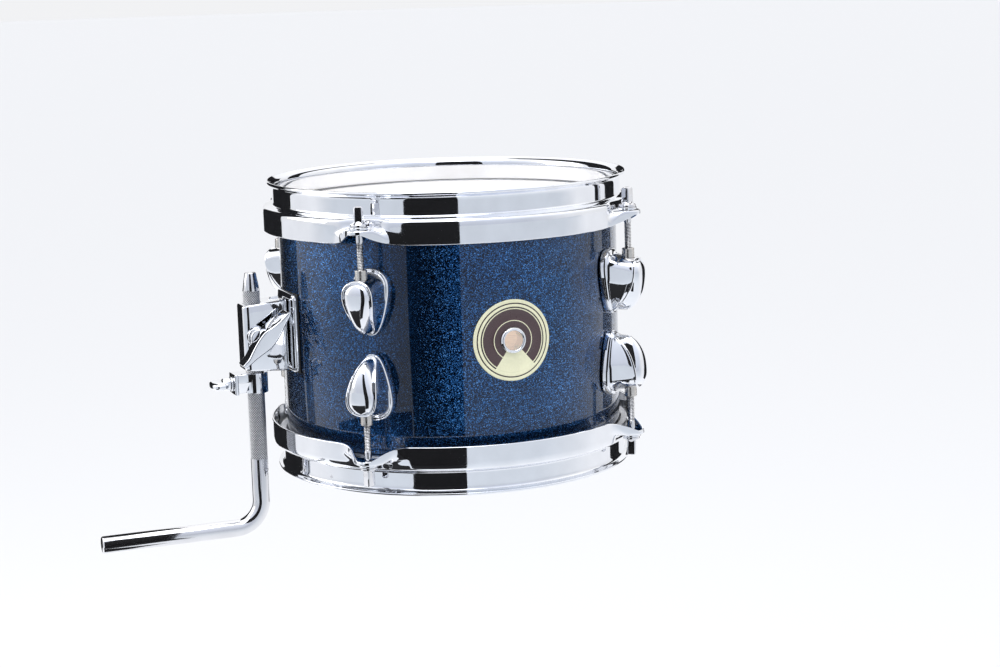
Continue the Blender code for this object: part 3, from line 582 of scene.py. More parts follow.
def sheet_section(path, thickness, end_steps=6):
    """A path thickened inwards, with round edges, as a closed outline."""
    inner = []
    for index, point in enumerate(path):
        before = Vector(path[max(index - 1, 0)])
        after = Vector(path[min(index + 1, len(path) - 1)])
        along = (after - before).normalized()
        inner.append(Vector(point) + Vector((along.y, -along.x)) * thickness)
    out = [Vector(point) for point in path]
    ends = []
    for outer_end, inner_end, beyond in ((out[-1], inner[-1], out[-1] - out[-2]),
                                         (inner[0], out[0], out[0] - out[1])):
        centre = (outer_end + inner_end) / 2
        across = outer_end - centre
        reach = beyond.normalized() * across.length
        arc = []
        for step in range(1, end_steps):
            turn = math.pi * step / end_steps
            arc.append(centre + across * math.cos(turn) + reach * math.sin(turn) * 0.6)
        ends.append(arc)
    return out + ends[0] + inner[::-1] + ends[1]


def build_hoops():
    span = 2 * math.pi / len(STATIONS)
    rings = []
    for count in range(HOOP_COLUMNS):
        turn = 2 * math.pi * count / HOOP_COLUMNS
        nearest = (turn + span / 2) % span - span / 2
        section = sheet_section(softened(hoop_path(abs(nearest) * SKIRT)), STEEL)
        angle = FIRST_STATION + turn
        rings.append([(p.x * math.cos(angle), p.x * math.sin(angle), p.y) for p in section])
    blank = skin("hoop", rings, wrap=True, sharp=math.radians(70))
    holes = []
    for angle in STATIONS:
        hole = rod_mesh("ear_hole", 0.0033, EAR_END - 0.006, EAR_SEAT + 0.003)
        hole.transform(Matrix.Translation((ROD_FROM_AXIS * math.cos(angle),
                                           ROD_FROM_AXIS * math.sin(angle), 0)))
        holes.append(hole)
    mesh = carve(blank, holes)
    for side, side_turn in SIDES:
        add_piece(f"{side}_counter_hoop", mesh, CHROME, f"{side}_rim",
                  f"{side}_hoop", side_turn)


# ---------------------------------------------------------------- lugs

LUG_TAIL = 0.0064               # foot on the shell, from tail to rod end
LUG_TOP = 0.0547
LUG_FOOT_HALF = 0.0140
RIM_TAIL = 0.0074               # rim of the rounded face
RIM_TOP = 0.0483
RIM_HALF = 0.0119
LUG_PEAK = 0.1562
LUG_PEAK_HEIGHT = 0.0370
LUG_STEPS = 48
# Distance of the face's rim from the drum's axis, by height.
RIM_REACH = ((0.0074, 0.1327), (0.0088, 0.1339), (0.0115, 0.1373), (0.0161, 0.1428),
             (0.0201, 0.1461), (0.0240, 0.1485), (0.0278, 0.1502), (0.0315, 0.1515),
             (0.0352, 0.1524), (0.0388, 0.1528), (0.0422, 0.1527), (0.0456, 0.1521),
             (0.0490, 0.1508), (0.0560, 0.1470))


def drop_width(along):
    """Relative width of the drop shape, from 0 at its tail through 1 to 0 at its rod end."""
    along = min(max(along, 0.0), 1.0)
    return along ** 0.39 * math.sqrt(1 - along ** 6) / 0.818


def drop_outline(half_width, tail, top, fullness):
    """A closed drop shape of (across, height) points. Fullness over 1 flattens its sides."""
    side = []
    for count in range(LUG_STEPS + 1):
        along = (1 - math.cos(math.pi * count / LUG_STEPS)) / 2
        width = min(drop_width(along) * fullness, 1.0)
        side.append((half_width * width, tail + (top - tail) * along))
    return side + [(-y, z) for y, z in reversed(side[1:-1])]


def spine_reach(height):
    """Distance of the middle of the lug's face from the drum's axis."""
    reach = LUG_PEAK - SHELL_RADIUS
    if height < LUG_PEAK_HEIGHT:
        drop = (LUG_PEAK_HEIGHT - height) / (LUG_PEAK_HEIGHT - LUG_TAIL + 0.0003)
        return SHELL_RADIUS + reach * max(1 - drop ** 2.6, 0.0) ** (1 / 2.6)
    rise = (height - LUG_PEAK_HEIGHT) / (LUG_TOP - LUG_PEAK_HEIGHT)
    return LUG_PEAK - 0.0115 * rise ** 2.2


def rim_reach(height):
    if height <= RIM_REACH[0][0]:
        return RIM_REACH[0][1]
    for (z0, r0), (z1, r1) in zip(RIM_REACH, RIM_REACH[1:]):
        if height <= z1:
            return mix(r0, r1, (height - z0) / (z1 - z0))
    return RIM_REACH[-1][1]


def build_lugs():
    seat = SHELL_RADIUS + 0.0006

    def from_shell(lift):
        return lambda y, z: math.sqrt(seat * seat - y * y) + lift

    def from_rim(lift):
        return lambda y, z: rim_reach(z) + lift

    def wall(share):
        low, high = from_shell(0.0058), from_rim(-0.0014)
        return lambda y, z: mix(low(y, z), max(high(y, z), low(y, z) + 0.0003), share)

    def dome(y, z):
        """The crowned face, from just inside the rim up to the spine."""
        half = (RIM_HALF - 0.0024) * drop_width((z - RIM_TAIL - 0.002) / (
            RIM_TOP - RIM_TAIL - 0.0045))
        share = min(abs(y) / max(half, 0.0001), 1.0)
        crown = (1 - share ** 3) ** 0.6
        edge = rim_reach(z) + 0.0001
        return edge + max(spine_reach(z) - edge, 0.0) * crown

    def rows_of(table, half, tail, top, place):
        """Rows of outline, drawn in by millimetres at the sides, tail and rod end."""
        mm = 0.001
        return [(half - sides * mm, tail + foot * mm, top - end * mm, fullness, place(where))
                for sides, foot, end, fullness, where in table]

    flange = ((0.4, 0.4, 0.4, 1.0, 0.0), (0.0, 0.0, 0.0, 1.0, 0.0005),
              (0.0, 0.0, 0.0, 1.0, 0.0034), (0.2, 0.1, 0.3, 1.0, 0.0044),
              (0.6, 0.3, 0.8, 1.0, 0.0051), (1.1, 0.6, 1.5, 1.02, 0.0054),
              (1.5, 0.9, 2.2, 1.04, 0.0054), (1.8, 1.0, 2.8, 1.05, 0.0058))
    flank = ((0.0, 0.0, -2.5, 1.05, 0.10), (0.1, 0.0, -1.4, 1.05, 0.40),
             (0.2, 0.0, -0.5, 1.05, 0.70), (0.2, 0.1, 0.2, 1.04, 0.96),
             (0.1, 0.0, 0.1, 1.01, 1.0))
    bead = ((0.0, -0.1, 0.0, 1.0, -0.0008), (0.0, -0.1, 0.0, 1.0, -0.0002),
            (0.3, 0.2, 0.3, 1.0, 0.0004), (0.8, 0.7, 0.8, 1.0, 0.0006),
            (1.3, 1.2, 1.3, 1.0, 0.0004), (1.6, 1.5, 1.6, 1.0, -0.0002),
            (2.0, 1.8, 2.0, 1.0, -0.0004))
    rows = rows_of(flange, LUG_FOOT_HALF, LUG_TAIL, LUG_TOP, from_shell)
    rows += rows_of(flank, RIM_HALF, RIM_TAIL, RIM_TOP, wall)
    rows += rows_of(bead, RIM_HALF, RIM_TAIL, RIM_TOP, from_rim)
    shrink = (0.0025, 0.0029, 0.0036, 0.0046, 0.0058, 0.0072, 0.0086, 0.0100, 0.0113)
    for inset in shrink:
        share = inset / RIM_HALF
        rows.append((RIM_HALF - inset, RIM_TAIL + 0.0021 + 0.030 * (share - 0.2) * share,
                     RIM_TOP - 0.0025 - 0.013 * (share - 0.2), 1.0, dome))
    rings = []
    for half_width, tail, top, fullness, height_of in rows:
        outline = drop_outline(half_width, tail, top, fullness)
        rings.append([(height_of(y, z), y, z) for y, z in outline])
    blank = skin("lug", rings, sharp=math.radians(42))
    bore = rod_mesh("nut_bore", 0.0048, 0.0320, LUG_TOP + 0.005)
    bore.transform(Matrix.Translation((ROD_FROM_AXIS, 0, 0)))
    repeat("lug_casting", "lug", carve(blank, [bore]), CHROME, 0.0)


# ---------------------------------------------------------------- tension rods

THREAD_PITCH = 0.0010583
THREAD_TOP = 0.0742
THREAD_DEPTH = 0.00042
ROD_RADIUS = 0.00252
SHANK_RADIUS = 0.00262
HEAD_HALF = 0.00315
HEAD_TURNS = [math.radians(turn) for turn in (52, 8, 20, -14)]    # where the rods stopped


def threaded_bar(name, radius, depth, pitch, low, high, steps=24, rows_per_turn=8):
    """A bar with a right-handed screw thread cut along its whole length, closed at both ends."""
    rows = int((high - low) / pitch * rows_per_turn)
    rings = []
    for row in range(rows + 1):
        height = mix(low, high, row / rows)
        fade = ease((height - low) / pitch) * ease((high - height) / pitch)
        ring = []
        for step in range(steps):
            turn = step / steps
            phase = (height / pitch - turn) % 1.0
            cut = depth * fade * (1 - abs(2 * phase - 1)) ** 0.8
            reach = radius - cut
            ring.append((reach * math.cos(2 * math.pi * turn),
                         reach * math.sin(2 * math.pi * turn), height))
        rings.append(ring)
    return skin(name, rings, sharp=math.radians(80))


def square_head():
    """The key square, slightly tapered, with a domed top."""
    levels = [(0.0868, 1.10, 0.30), (0.0878, 1.0, 0.20), (0.0900, 0.99, 0.16),
              (ROD_TOP - 0.0014, 0.97, 0.16), (ROD_TOP - 0.0006, 0.90, 0.22),
              (ROD_TOP - 0.0001, 0.70, 0.35), (ROD_TOP, 0.40, 0.5)]
    rings = []
    for height, scale, corner in levels:
        half = HEAD_HALF * scale
        outline = rounded([(half, half), (-half, half), (-half, -half), (half, -half)],
                          2 * half * corner, 5)
        rings.append([(x, y, height) for x, y in outline])
    return skin("square", rings, sharp=math.radians(50))


def build_rods():
    flange_low = WASHER_HIGH + 0.0003
    flange = lathed("flange", [
        (0.0, flange_low + 0.0042, 0), (0.0030, flange_low + 0.0040, 0.0004),
        (0.0040, flange_low + 0.0026, 0.0010), (0.0062, flange_low + 0.0017, 0.0004),
        (0.0063, flange_low, 0.0003), (SHANK_RADIUS, flange_low, 0.0002),
        (SHANK_RADIUS, THREAD_TOP, 0.0003), (0.0, THREAD_TOP - 0.0002, 0)], 40)
    thread = threaded_bar("thread", ROD_RADIUS, THREAD_DEPTH, THREAD_PITCH, ROD_END,
                          THREAD_TOP)
    head = square_head()
    mesh = joined("tension_rod", [(item, UPRIGHT) for item in (head, flange, thread)])
    mesh.materials.append(ROD_CHROME)
    mark(mesh, THREAD, lambda spot: spot.z < THREAD_TOP - 0.0003)
    repeat("key_rod", "tension_rod", mesh, None, ROD_FROM_AXIS,
           "{side}_rod_{number}", HEAD_TURNS)
    washer = washer_mesh("washer", 0.0030, 0.0070, WASHER_LOW, WASHER_HIGH)
    repeat("round_washer", "rod_washer", washer, CHROME, ROD_FROM_AXIS, "{side}_rim")
    low, high = heights("batter_swivel_nut_1")
    collar_low = 0.0476
    nut = turned("nut", rounded([
        (0.00445, high, 0.0006), (0.00445, collar_low, 0.0008), (0.0039, collar_low - 0.0006),
        (0.0039, low), (0.00275, low), (0.00275, high, 0.0003)], 0.0002), 40)
    repeat("rod_nut", "swivel_nut", nut, NICKEL, ROD_FROM_AXIS)


# ---------------------------------------------------------------- badge and vent

BADGE_RADIUS = extent("badge").x / 2
BADGE_WEDGE = math.radians(38)
BADGE_LEAN = math.radians(3)
BADGE_FACE = -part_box("badge")[0].y
TWIST_STRANDS = 96


def badge_bands():
    """Rings of the badge from its middle out: end radius, finish, stops at wedge, height."""
    mm = 0.001
    return [
        (13.9 * mm, 1, True, 0.0), (14.5 * mm, 0, True, 0.06 * mm), (22.3 * mm, 1, True, 0.0),
        (23.0 * mm, 0, True, 0.06 * mm), (24.0 * mm, 2, True, 0.0),
        (25.9 * mm, 0, False, 0.06 * mm), (26.8 * mm, 2, False, -0.02 * mm),
        (27.3 * mm, 0, False, 0.05 * mm),
    ]


def build_badge():
    """A round plate wrapped on the shell: raised rings, a plain wedge and a twisted rim."""
    around = TWIST_STRANDS * 4
    base = SHELL_RADIUS + 0.00035
    face = BADGE_FACE - 0.0002
    plain_cream = (0, False)
    circles = [(VENT_HOLE, base, plain_cream), (VENT_HOLE, face - 0.0001, plain_cream)]
    previous = VENT_HOLE
    step = 0.00006
    for radius, finish, stops, lift in badge_bands():
        for spot in (previous + step, (previous + radius) / 2, radius - step):
            circles.append((spot, face + lift, (finish, stops)))
        previous = radius
    for inset, lift in ((0.0019, 0.0), (0.0016, 0.00005), (0.0011, 0.00018), (0.0006, 0.00010),
                        (0.0001, -0.0002)):
        circles.append((BADGE_RADIUS - inset, face + lift, plain_cream))
    circles.append((BADGE_RADIUS, base, plain_cream))
    bm = bmesh.new()
    rings = []
    for radius, height, _ in circles:
        ring = []
        for count in range(around):
            turn = 2 * math.pi * count / around
            on_rim = ease(1 - abs(radius - BADGE_RADIUS + 0.0009) / 0.0007)
            strand = math.sin(TWIST_STRANDS * turn + 2200 * radius) * 0.00016 * on_rim
            across, up = radius * math.sin(turn), -radius * math.cos(turn)
            bend = across / base
            reach = height + strand
            ring.append(bm.verts.new((reach * math.sin(bend), -reach * math.cos(bend), up)))
        rings.append(ring)
    for level, (low, high) in enumerate(zip(rings, rings[1:])):
        finish, stops = circles[level + 1][2]
        for count in range(around):
            at = 2 * math.pi * (count - 0.5) / around - BADGE_LEAN
            at = (at + math.pi) % (2 * math.pi) - math.pi
            quad = bm.faces.new((low[count - 1], low[count], high[count], high[count - 1]))
            quad.material_index = 0 if stops and abs(at) < BADGE_WEDGE else finish
    for count in range(around):
        bm.faces.new((rings[-1][count - 1], rings[-1][count], rings[0][count],
                      rings[0][count - 1]))
    mesh = finished(bm, "badge", math.radians(50))
    for material in (CREAM, PLUM, INK):
        mesh.materials.append(material)
    add_piece("round_badge", mesh, None, "drum", "badge")


def build_vent():
    """The flanged grommet, turned about the radial line through the badge."""
    front = -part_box("vent_grommet")[0].y + DRUM.y
    back = SHELL_RADIUS - 0.0086
    seat = BADGE_FACE + 0.0003
    outline = rounded([
        (0.0095, seat, 0.0002), (0.0095, seat + 0.0003, 0.0003), (0.0086, front, 0.0008),
        (0.0074, front - 0.0001, 0.0006), (0.0067, front - 0.0012, 0.0006), (0.0066, back),
        (0.0076, back), (0.0076, seat)], 0.0002, 5)
    mesh = turned("grommet", outline, 72, sharp=math.radians(50))
    add_piece("vent_eyelet", mesh, CHROME, "drum", "vent_grommet",
              Matrix.Rotation(math.pi / 2, 4, "X"))


# ---------------------------------------------------------------- tom bracket

BLOCK_HALF = 0.0114
BLOCK_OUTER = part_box("bracket_block")[0].x - DRUM.x
BLOCK_OUTER_Z = (-0.0263, 0.0218)
BLOCK_INNER_Z = (-0.0285, 0.0247)
BOSS_RADIUS = 0.0078
BOSS_END = DRUM.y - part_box("bracket_block")[0].y
BOLT_BORE = 0.0034
BOLT_RADIUS = 0.0030
ARM_SPOT = Matrix.Translation((ARM_X, 0, 0))
CLAMP_SPOT = Matrix.Translation((ARM_X, 0, middle("wing_bolt").z - DRUM.z))
ACROSS = Matrix.Rotation(math.pi / 2, 4, "X")
TOWARDS_ARM = Matrix.Rotation(-math.pi / 2, 4, "Y")


def build_base_plate():
    """The curved plate against the shell, with soft edges and rounded corners."""
    half = extent("bracket_plate").y / 2
    bottom, top = heights("bracket_plate")
    inner = SHELL_RADIUS + 0.0013
    thickness = 0.0024
    centre_z = (bottom + top) / 2
    outline = rounded([(half, top - centre_z), (-half, top - centre_z),
                       (-half, bottom - centre_z), (half, bottom - centre_z)], 0.0045, 8)
    levels = [(1.0, 0.0), (1.0, thickness - 0.0011), (0.985, thickness - 0.0003),
              (0.955, thickness)] + [(share / 10, thickness) for share in range(9, 1, -1)]
    rings = []
    for scale, lift in levels:
        ring = []
        for y, z in outline:
            turn = y * scale / inner
            reach = inner + lift
            ring.append((-reach * math.cos(turn), reach * math.sin(turn),
                         centre_z + z * scale))
        rings.append(ring)
    mesh = skin("base_plate", rings, sharp=math.radians(50))
    add_piece("bracket_base_plate", mesh, CHROME, "drum", "bracket_plate")


def build_block():
    """The casting round the arm: drafted sides, rounded edges, a boss and a bored hole."""
    inner = -SHELL_RADIUS - 0.0041

    def drafted(corner):
        outer = corner.x < (inner + BLOCK_OUTER) / 2
        levels = BLOCK_OUTER_Z if outer else BLOCK_INNER_Z
        corner.z = levels[1] if corner.z > 0 else levels[0]
        return corner

    def at_outer_end(edge):
        return all(vert.co.x < BLOCK_OUTER + 0.001 for vert in edge.verts) and abs(
            edge.verts[0].co.z - edge.verts[1].co.z) > 0.01

    block = box_mesh("block", (BLOCK_OUTER, -BLOCK_HALF, -1), (inner, BLOCK_HALF, 1),
                     0.0016, 4, drafted, at_outer_end, 0.0050)
    boss = lathed("boss", [
        (0.0, BOSS_END, 0), (BOSS_RADIUS, BOSS_END, 0.0012),
        (BOSS_RADIUS, BLOCK_HALF - 0.002, 0), (0.0, BLOCK_HALF - 0.002, 0)], 48, 5)
    boss.transform(CLAMP_SPOT @ ACROSS)
    whole = carve(block, [boss], "UNION")
    arm_bore = rod_mesh("arm_bore", ARM_BORE, -0.05, 0.05, 64)
    arm_bore.transform(ARM_SPOT)
    bolt_bore = rod_mesh("bolt_bore", BOLT_BORE, 0.004, BOSS_END + 0.004)
    bolt_bore.transform(CLAMP_SPOT @ ACROSS)
    mesh = carve(whole, [arm_bore, bolt_bore])
    add_piece("bracket_casting", mesh, CHROME, "drum", "bracket_block")


# Across the wing, by distance along it: both edges of its front and the edge of its back.
WING_SECTIONS = (
    (-0.0236, -0.0042, -0.0032, -0.0026), (-0.0231, -0.0052, -0.0027, -0.0016),
    (-0.0210, -0.0061, -0.0027, -0.0014), (-0.0170, -0.0064, -0.0024, -0.0012),
    (-0.0120, -0.0068, -0.0006, 0.0004), (-0.0060, -0.0077, 0.0014, 0.0022),
    (0.0000, -0.0086, 0.0028, 0.0036), (0.0060, -0.0080, 0.0031, 0.0054),
    (0.0120, -0.0064, 0.0018, 0.0050), (0.0180, -0.0040, 0.0010, 0.0042),
    (0.0235, -0.0024, 0.0010, 0.0038), (0.0264, -0.0014, 0.0013, 0.0030),
    (0.0273, -0.0002, 0.0010, 0.0018))
WING_ROWS = 5
WING_TURN = math.radians(-40.7)
BOLT_END = 0.0099               # of the bolt's shank, from the arm's axis


def wing_section(row):
    """A row between the given sections, on a smooth curve through them."""
    last = len(WING_SECTIONS) - 1
    start = min(int(row / WING_ROWS), last - 1)
    share = row / WING_ROWS - start
    corners = [WING_SECTIONS[min(max(start + step, 0), last)] for step in (-1, 0, 1, 2)]
    values = []
    for before, low, high, after in zip(*corners):
        bend = (high - before) / 2, (after - low) / 2
        values.append(low + share * bend[0] + share ** 2 * (
            3 * (high - low) - 2 * bend[0] - bend[1]) + share ** 3 * (
            2 * (low - high) + bend[0] + bend[1]))
    return values


def build_wing_bolt():
    """A thick cast wing with a flat front and one broad slanted side, on a round hub."""
    low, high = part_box("wing_bolt")
    front = DRUM.y - low.y
    hub_start = BOSS_END + 0.0003
    back = hub_start + 0.0024
    tilt = Matrix.Rotation(WING_TURN, 4, "Y")
    rings = []
    for row in range((len(WING_SECTIONS) - 1) * WING_ROWS + 1):
        x, near_low, near_high, far_high = wing_section(row)
        soft = min(0.0013, (near_high - near_low) * 0.4)
        far_low = near_low - 0.0008
        outline = rounded([
            (near_low, front, soft), (near_high, front, soft),
            (far_high, back + 0.0006, 0.0008), (far_high - 0.0006, back, 0.0004),
            (far_low + 0.0006, back, 0.0004), (far_low, back + 0.0006, 0.0008)], 0, 5)
        rings.append([(x, -reach, across) for across, reach in outline])
    leaf = skin("leaf", rings, sharp=math.radians(40))
    leaf.transform(CLAMP_SPOT @ tilt)
    hub = lathed("hub", [
        (0.0, back + 0.0016, 0), (0.0066, back + 0.0016, 0.0010), (0.0070, back - 0.0004, 0.0006),
        (0.0066, hub_start, 0.0003), (BOLT_RADIUS, hub_start, 0.0002),
        (BOLT_RADIUS, BOLT_END, 0.0004), (0.0, BOLT_END, 0)], 48, 5)
    hub.transform(CLAMP_SPOT @ ACROSS)
    mesh = carve(leaf, [hub], "UNION")
    mesh.set_sharp_from_angle(angle=math.radians(40))
    add_piece("cast_wing_bolt", mesh, CHROME, "wing_bolt", "wing_bolt")


# ---------------------------------------------------------------- arm and memory lock

ARM_CONE = 0.0135
ARM_TIP_RATIO = 0.65
ARM_BEND = 0.0200
KNURL_FOOT = -0.0940
KNURL_DEPTH = 0.00042
KNURL_TEETH = 22
KNURL_ROW = 0.00040
ARM_AROUND = 176
BEND_STEPS = 24
LOCK_HALF = 0.0078
LOCK_COLLAR_RADIUS = 0.0092
THUMB_HALF_DEEP = 0.0065
THUMB_HALF_TALL = 0.0040
THUMB_STEPS = 30


def knurl(turn, height):
    """Depth of the diamond knurl: two sets of crossing grooves."""
    climb = height * KNURL_TEETH / (2 * math.pi * ARM_RADIUS)
    depth = 0.0
    for way in (1, -1):
        phase = (turn * KNURL_TEETH + way * climb) % 1.0
        depth = max(depth, 1 - min(phase, 1 - phase) * 3.2)
    return KNURL_DEPTH * max(depth, 0.0)


def build_arm():
    """Leg, bend, knurled upright and cone tip, swept in one skin."""
    def level(x, ratio=1.0):
        return Vector((x, LEG_Z)), 0.0, ratio

    def upright(height, ratio=1.0):
        return Vector((ARM_X, height)), math.pi / 2, ratio

    centre = Vector((ARM_X - ARM_BEND, LEG_Z + ARM_BEND))
    stations = [level(LEG_START, 0.92), level(LEG_START + 0.0006), level(centre.x)]
    for count in range(1, BEND_STEPS + 1):
        turn = math.pi / 2 * count / BEND_STEPS
        spot = centre + Vector((math.sin(turn), -math.cos(turn))) * ARM_BEND
        stations.append((spot, turn, 1.0))
    cone_foot = ARM_TOP - ARM_CONE
    rows = int((cone_foot - KNURL_FOOT) / KNURL_ROW)
    stations.append(upright(KNURL_FOOT - 0.0006))
    stations += [upright(mix(KNURL_FOOT, cone_foot, row / rows)) for row in range(rows + 1)]
    stations += [upright(cone_foot + 0.0004, 0.985),
                 upright(ARM_TOP - 0.0007, ARM_TIP_RATIO + 0.01),
                 upright(ARM_TOP - 0.0002, ARM_TIP_RATIO - 0.05),
                 upright(ARM_TOP, ARM_TIP_RATIO - 0.16)]
    rings = []
    for spot, bend, ratio in stations:
        outwards = Vector((math.sin(bend), 0.0, -math.cos(bend)))
        knurled = KNURL_FOOT < spot.y < cone_foot and bend == math.pi / 2
        ring = []
        for step in range(ARM_AROUND):
            turn = step / ARM_AROUND
            radius = ARM_RADIUS * ratio - (knurl(turn, spot.y) if knurled else 0.0)
            offset = outwards * math.cos(2 * math.pi * turn) * radius
            offset.y += math.sin(2 * math.pi * turn) * radius
            ring.append((spot.x + offset.x, offset.y, spot.y + offset.z))
        rings.append(ring)
    mesh = skin("arm", rings, sharp=math.radians(60))
    mesh.materials.append(ROD_CHROME)
    mark(mesh, KNURL, lambda spot: KNURL_FOOT < spot.z < cone_foot)
    add_piece("bent_arm", mesh, None, "arm", "arm")


def build_memory_lock():
    """Collar round the arm with a drafted ear, closed by an end plate and a thumb bolt."""
    bottom, top = heights("memory_lock")
    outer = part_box("memory_lock")[0].x - DRUM.x
    half = LOCK_HALF
    waist = top - 0.0062

    def keeled(corner):
        return Vector((corner.x, corner.y * (0.45 if corner.z < waist - 0.004 else 0.985),
                       corner.z))

    upper = box_mesh("ear_upper", (outer + 0.0004, -half, waist - 0.0005), (ARM_X, half, top),
                     0.0009, 3)
    keel = box_mesh("ear_keel", (outer + 0.0004, -half, bottom + 0.0004),
                    (ARM_X, half, waist + 0.0004), 0.0004, 3, keeled)
    plate = box_mesh("end_plate", (outer, -half - 0.0006, bottom), (outer + 0.0028,
                     half + 0.0006, top), 0.0007, 3)
    collar = rod_mesh("collar", LOCK_COLLAR_RADIUS, bottom, top, 64, 0.0007)
    collar.transform(ARM_SPOT)
    whole = carve(upper, [keel, plate, collar], "UNION")
    bore = rod_mesh("lock_bore", ARM_BORE, bottom - 0.005, top + 0.005, 64)
    bore.transform(ARM_SPOT)
    centre_z = (bottom + top) / 2
    bolt_bore = rod_mesh("lock_bolt_bore", BOLT_BORE, -ARM_X, -outer + 0.004)
    bolt_bore.transform(Matrix.Translation((0, 0, centre_z)) @ TOWARDS_ARM)
    mesh = carve(whole, [bore, bolt_bore])
    add_piece("lock_collar", mesh, CHROME, "lock", "memory_lock")
    build_thumb_bolt(centre_z)


def build_thumb_bolt(centre_z):
    washer_low, washer_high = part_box("memory_lock_washer")
    start, end = DRUM.x - washer_high.x, DRUM.x - washer_low.x
    facing = Matrix.Translation((0, 0, centre_z)) @ TOWARDS_ARM
    washer = washer_mesh("lock_washer", BOLT_BORE, 0.0054, start, end)
    add_piece("lock_bolt_washer", washer, CHROME, "lock", "memory_lock_washer",
              facing)
    low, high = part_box("memory_lock_bolt")
    tip, back = DRUM.x - high.x, DRUM.x - low.x
    neck = end + 0.0003
    front = back - 2 * THUMB_HALF_DEEP
    stem = lathed("stem", [
        (0.0, front + 0.004, 0), (0.0046, front + 0.004, 0.0006), (0.0050, neck + 0.0002, 0.0004),
        (BOLT_RADIUS, neck, 0.0002), (BOLT_RADIUS, tip, 0.0005), (0.0, tip, 0)], 40)
    rings = []
    half_width = extent("memory_lock_bolt").y / 2
    for count in range(1, THUMB_STEPS):
        along = -math.cos(math.pi * count / THUMB_STEPS)
        reach = math.sqrt(1 - along * along)
        waist = 0.72 + 0.28 * abs(along) ** 1.5
        half_deep = THUMB_HALF_DEEP * min(1.0, reach ** 0.55)
        half_tall = THUMB_HALF_TALL * min(1.0, reach ** 0.8) * waist
        ring = []
        for step in range(32):
            turn = 2 * math.pi * step / 32
            c, s = math.cos(turn), math.sin(turn)
            across = math.copysign(abs(c) ** 0.6, c) * half_tall
            deep = math.copysign(abs(s) ** 0.75, s) * half_deep
            ring.append((across, half_width * along, back - THUMB_HALF_DEEP + deep))
        rings.append(ring)
    handle = skin("handle", rings, sharp=math.radians(60))
    mesh = carve(stem, [handle], "UNION")
    add_piece("thumb_bolt", mesh, CHROME, "lock_bolt", "memory_lock_bolt", facing)


# ---------------------------------------------------------------- finishes of the CAD nodes

def dress_cad_nodes():
    """Give every CAD node that still shows its own finish."""
    finishes = {"maple_ply": MAPLE, "aluminium": ALUMINIUM, "zinc": ZINC, "chrome": CHROME,
                "black_rubber": RUBBER, "coated_film": FILM, "badge_enamel": CREAM,
                "blue_sparkle": SPARKLE}
    slots = {row["node"]: row["material_slot"] for row in frame["record"]["subparts"]}
    for name, obj in frame["nodes"].items():
        obj.data.materials.clear()
        obj.data.materials.append(finishes[slots[name]])


# ---------------------------------------------------------------- studio

CAMERA_TURN = math.radians(21.3)        # round the drum, from straight at the badge
CAMERA_PITCH = math.radians(9.88)
CAMERA_ROLL = math.radians(-1.71)
CAMERA_OFFSET = Vector((-0.03767, -0.01431, 1.6))   # of the drum, right, down and away
CAMERA_LENS = 75.75
FLOOR_Z = -0.70                 # the arm's leg is at 0
NEAR_FLOOR = FLOOR_Z + 0.002
CARD_DISTANCE = 2.2
# Black cards for the reflections: degrees round the drum from the camera, and the two edges of
# each as (distance from the drum, height). They stand for a dark room and what was in it.
CARDS = (
    ("card_behind_camera", -27, 7, (CARD_DISTANCE, FLOOR_Z), (CARD_DISTANCE, 2.6)),
    ("card_back_right", 124, 141, (CARD_DISTANCE, FLOOR_Z), (CARD_DISTANCE, 5.0)),
    ("card_back_left", -158, -120, (CARD_DISTANCE, FLOOR_Z), (CARD_DISTANCE, 5.0)),
    ("card_back_low", 158, 188, (CARD_DISTANCE, DRUM.z + 0.17), (CARD_DISTANCE, DRUM.z + 0.62)),
    ("dark_floor_left", -85, -28, (0.35, NEAR_FLOOR), (2.1, NEAR_FLOOR)),
    ("dark_floor_ahead", -27, 7, (0.9, NEAR_FLOOR), (CARD_DISTANCE, NEAR_FLOOR)))


def add_camera():
    axes = (Matrix.Rotation(CAMERA_ROLL, 3, "Z")
            @ Matrix.Rotation(math.pi / 2 + CAMERA_PITCH, 3, "X")
            @ Matrix.Rotation(CAMERA_TURN, 3, "Z")).transposed()
    data = bpy.data.cameras.new("camera")
    data.lens = CAMERA_LENS
    data.sensor_width = 36.0
    data.clip_start = 0.01
    camera = bpy.data.objects.new("camera", data)
    turn = axes @ Matrix.Diagonal((1, -1, -1))
    camera.matrix_world = Matrix.Translation(DRUM - axes @ CAMERA_OFFSET) @ turn.to_4x4()
    bpy.context.scene.collection.objects.link(camera)
    bpy.context.scene.camera = camera
    away = camera.matrix_world.translation - DRUM
    return math.atan2(away.y, away.x)


def stage_mesh(name, mesh, material):
    mesh.materials.append(material)
    obj = bpy.data.objects.new(name, mesh)
    bpy.context.scene.collection.objects.link(obj)
    return obj


def plain(name, colour, strength=0.0, roughness=0.8):
    finish = Finish(name, Roughness=roughness)
    finish.use(Base_Color=colour, Specular_IOR_Level=0.2)
    if strength:
        finish.use(Emission_Color=colour, Emission_Strength=strength)
    return finish.material


def heading(angle):
    return math.cos(angle), math.sin(angle), 0.0


def floor_paint(camera_angle):
    """White, with painted shade greying it towards the camera, where the room is less lit, and a
    faint painted glow on the side away from the camera.
    """
    finish = Finish("pale_floor", Roughness=0.8)
    towards = finish.vector("DOT_PRODUCT", finish.place, heading(camera_angle))
    share = finish.ranged(towards, 0.0, 1.0, -0.6, 1.8)
    # Painted shade: the floor colour greys towards the camera.
    colour = finish.blend(share, (0.755, 0.755, 0.755), (0.60, 0.63, 0.66))
    # Painted glow: a faint emission on the floor away from the camera.
    glow = finish.ranged(share, 0.05, 0.0, 0.0, 0.5)
    return finish.use(Base_Color=colour, Specular_IOR_Level=0.1,
                      Emission_Color=(1.0, 1.0, 1.0), Emission_Strength=glow)


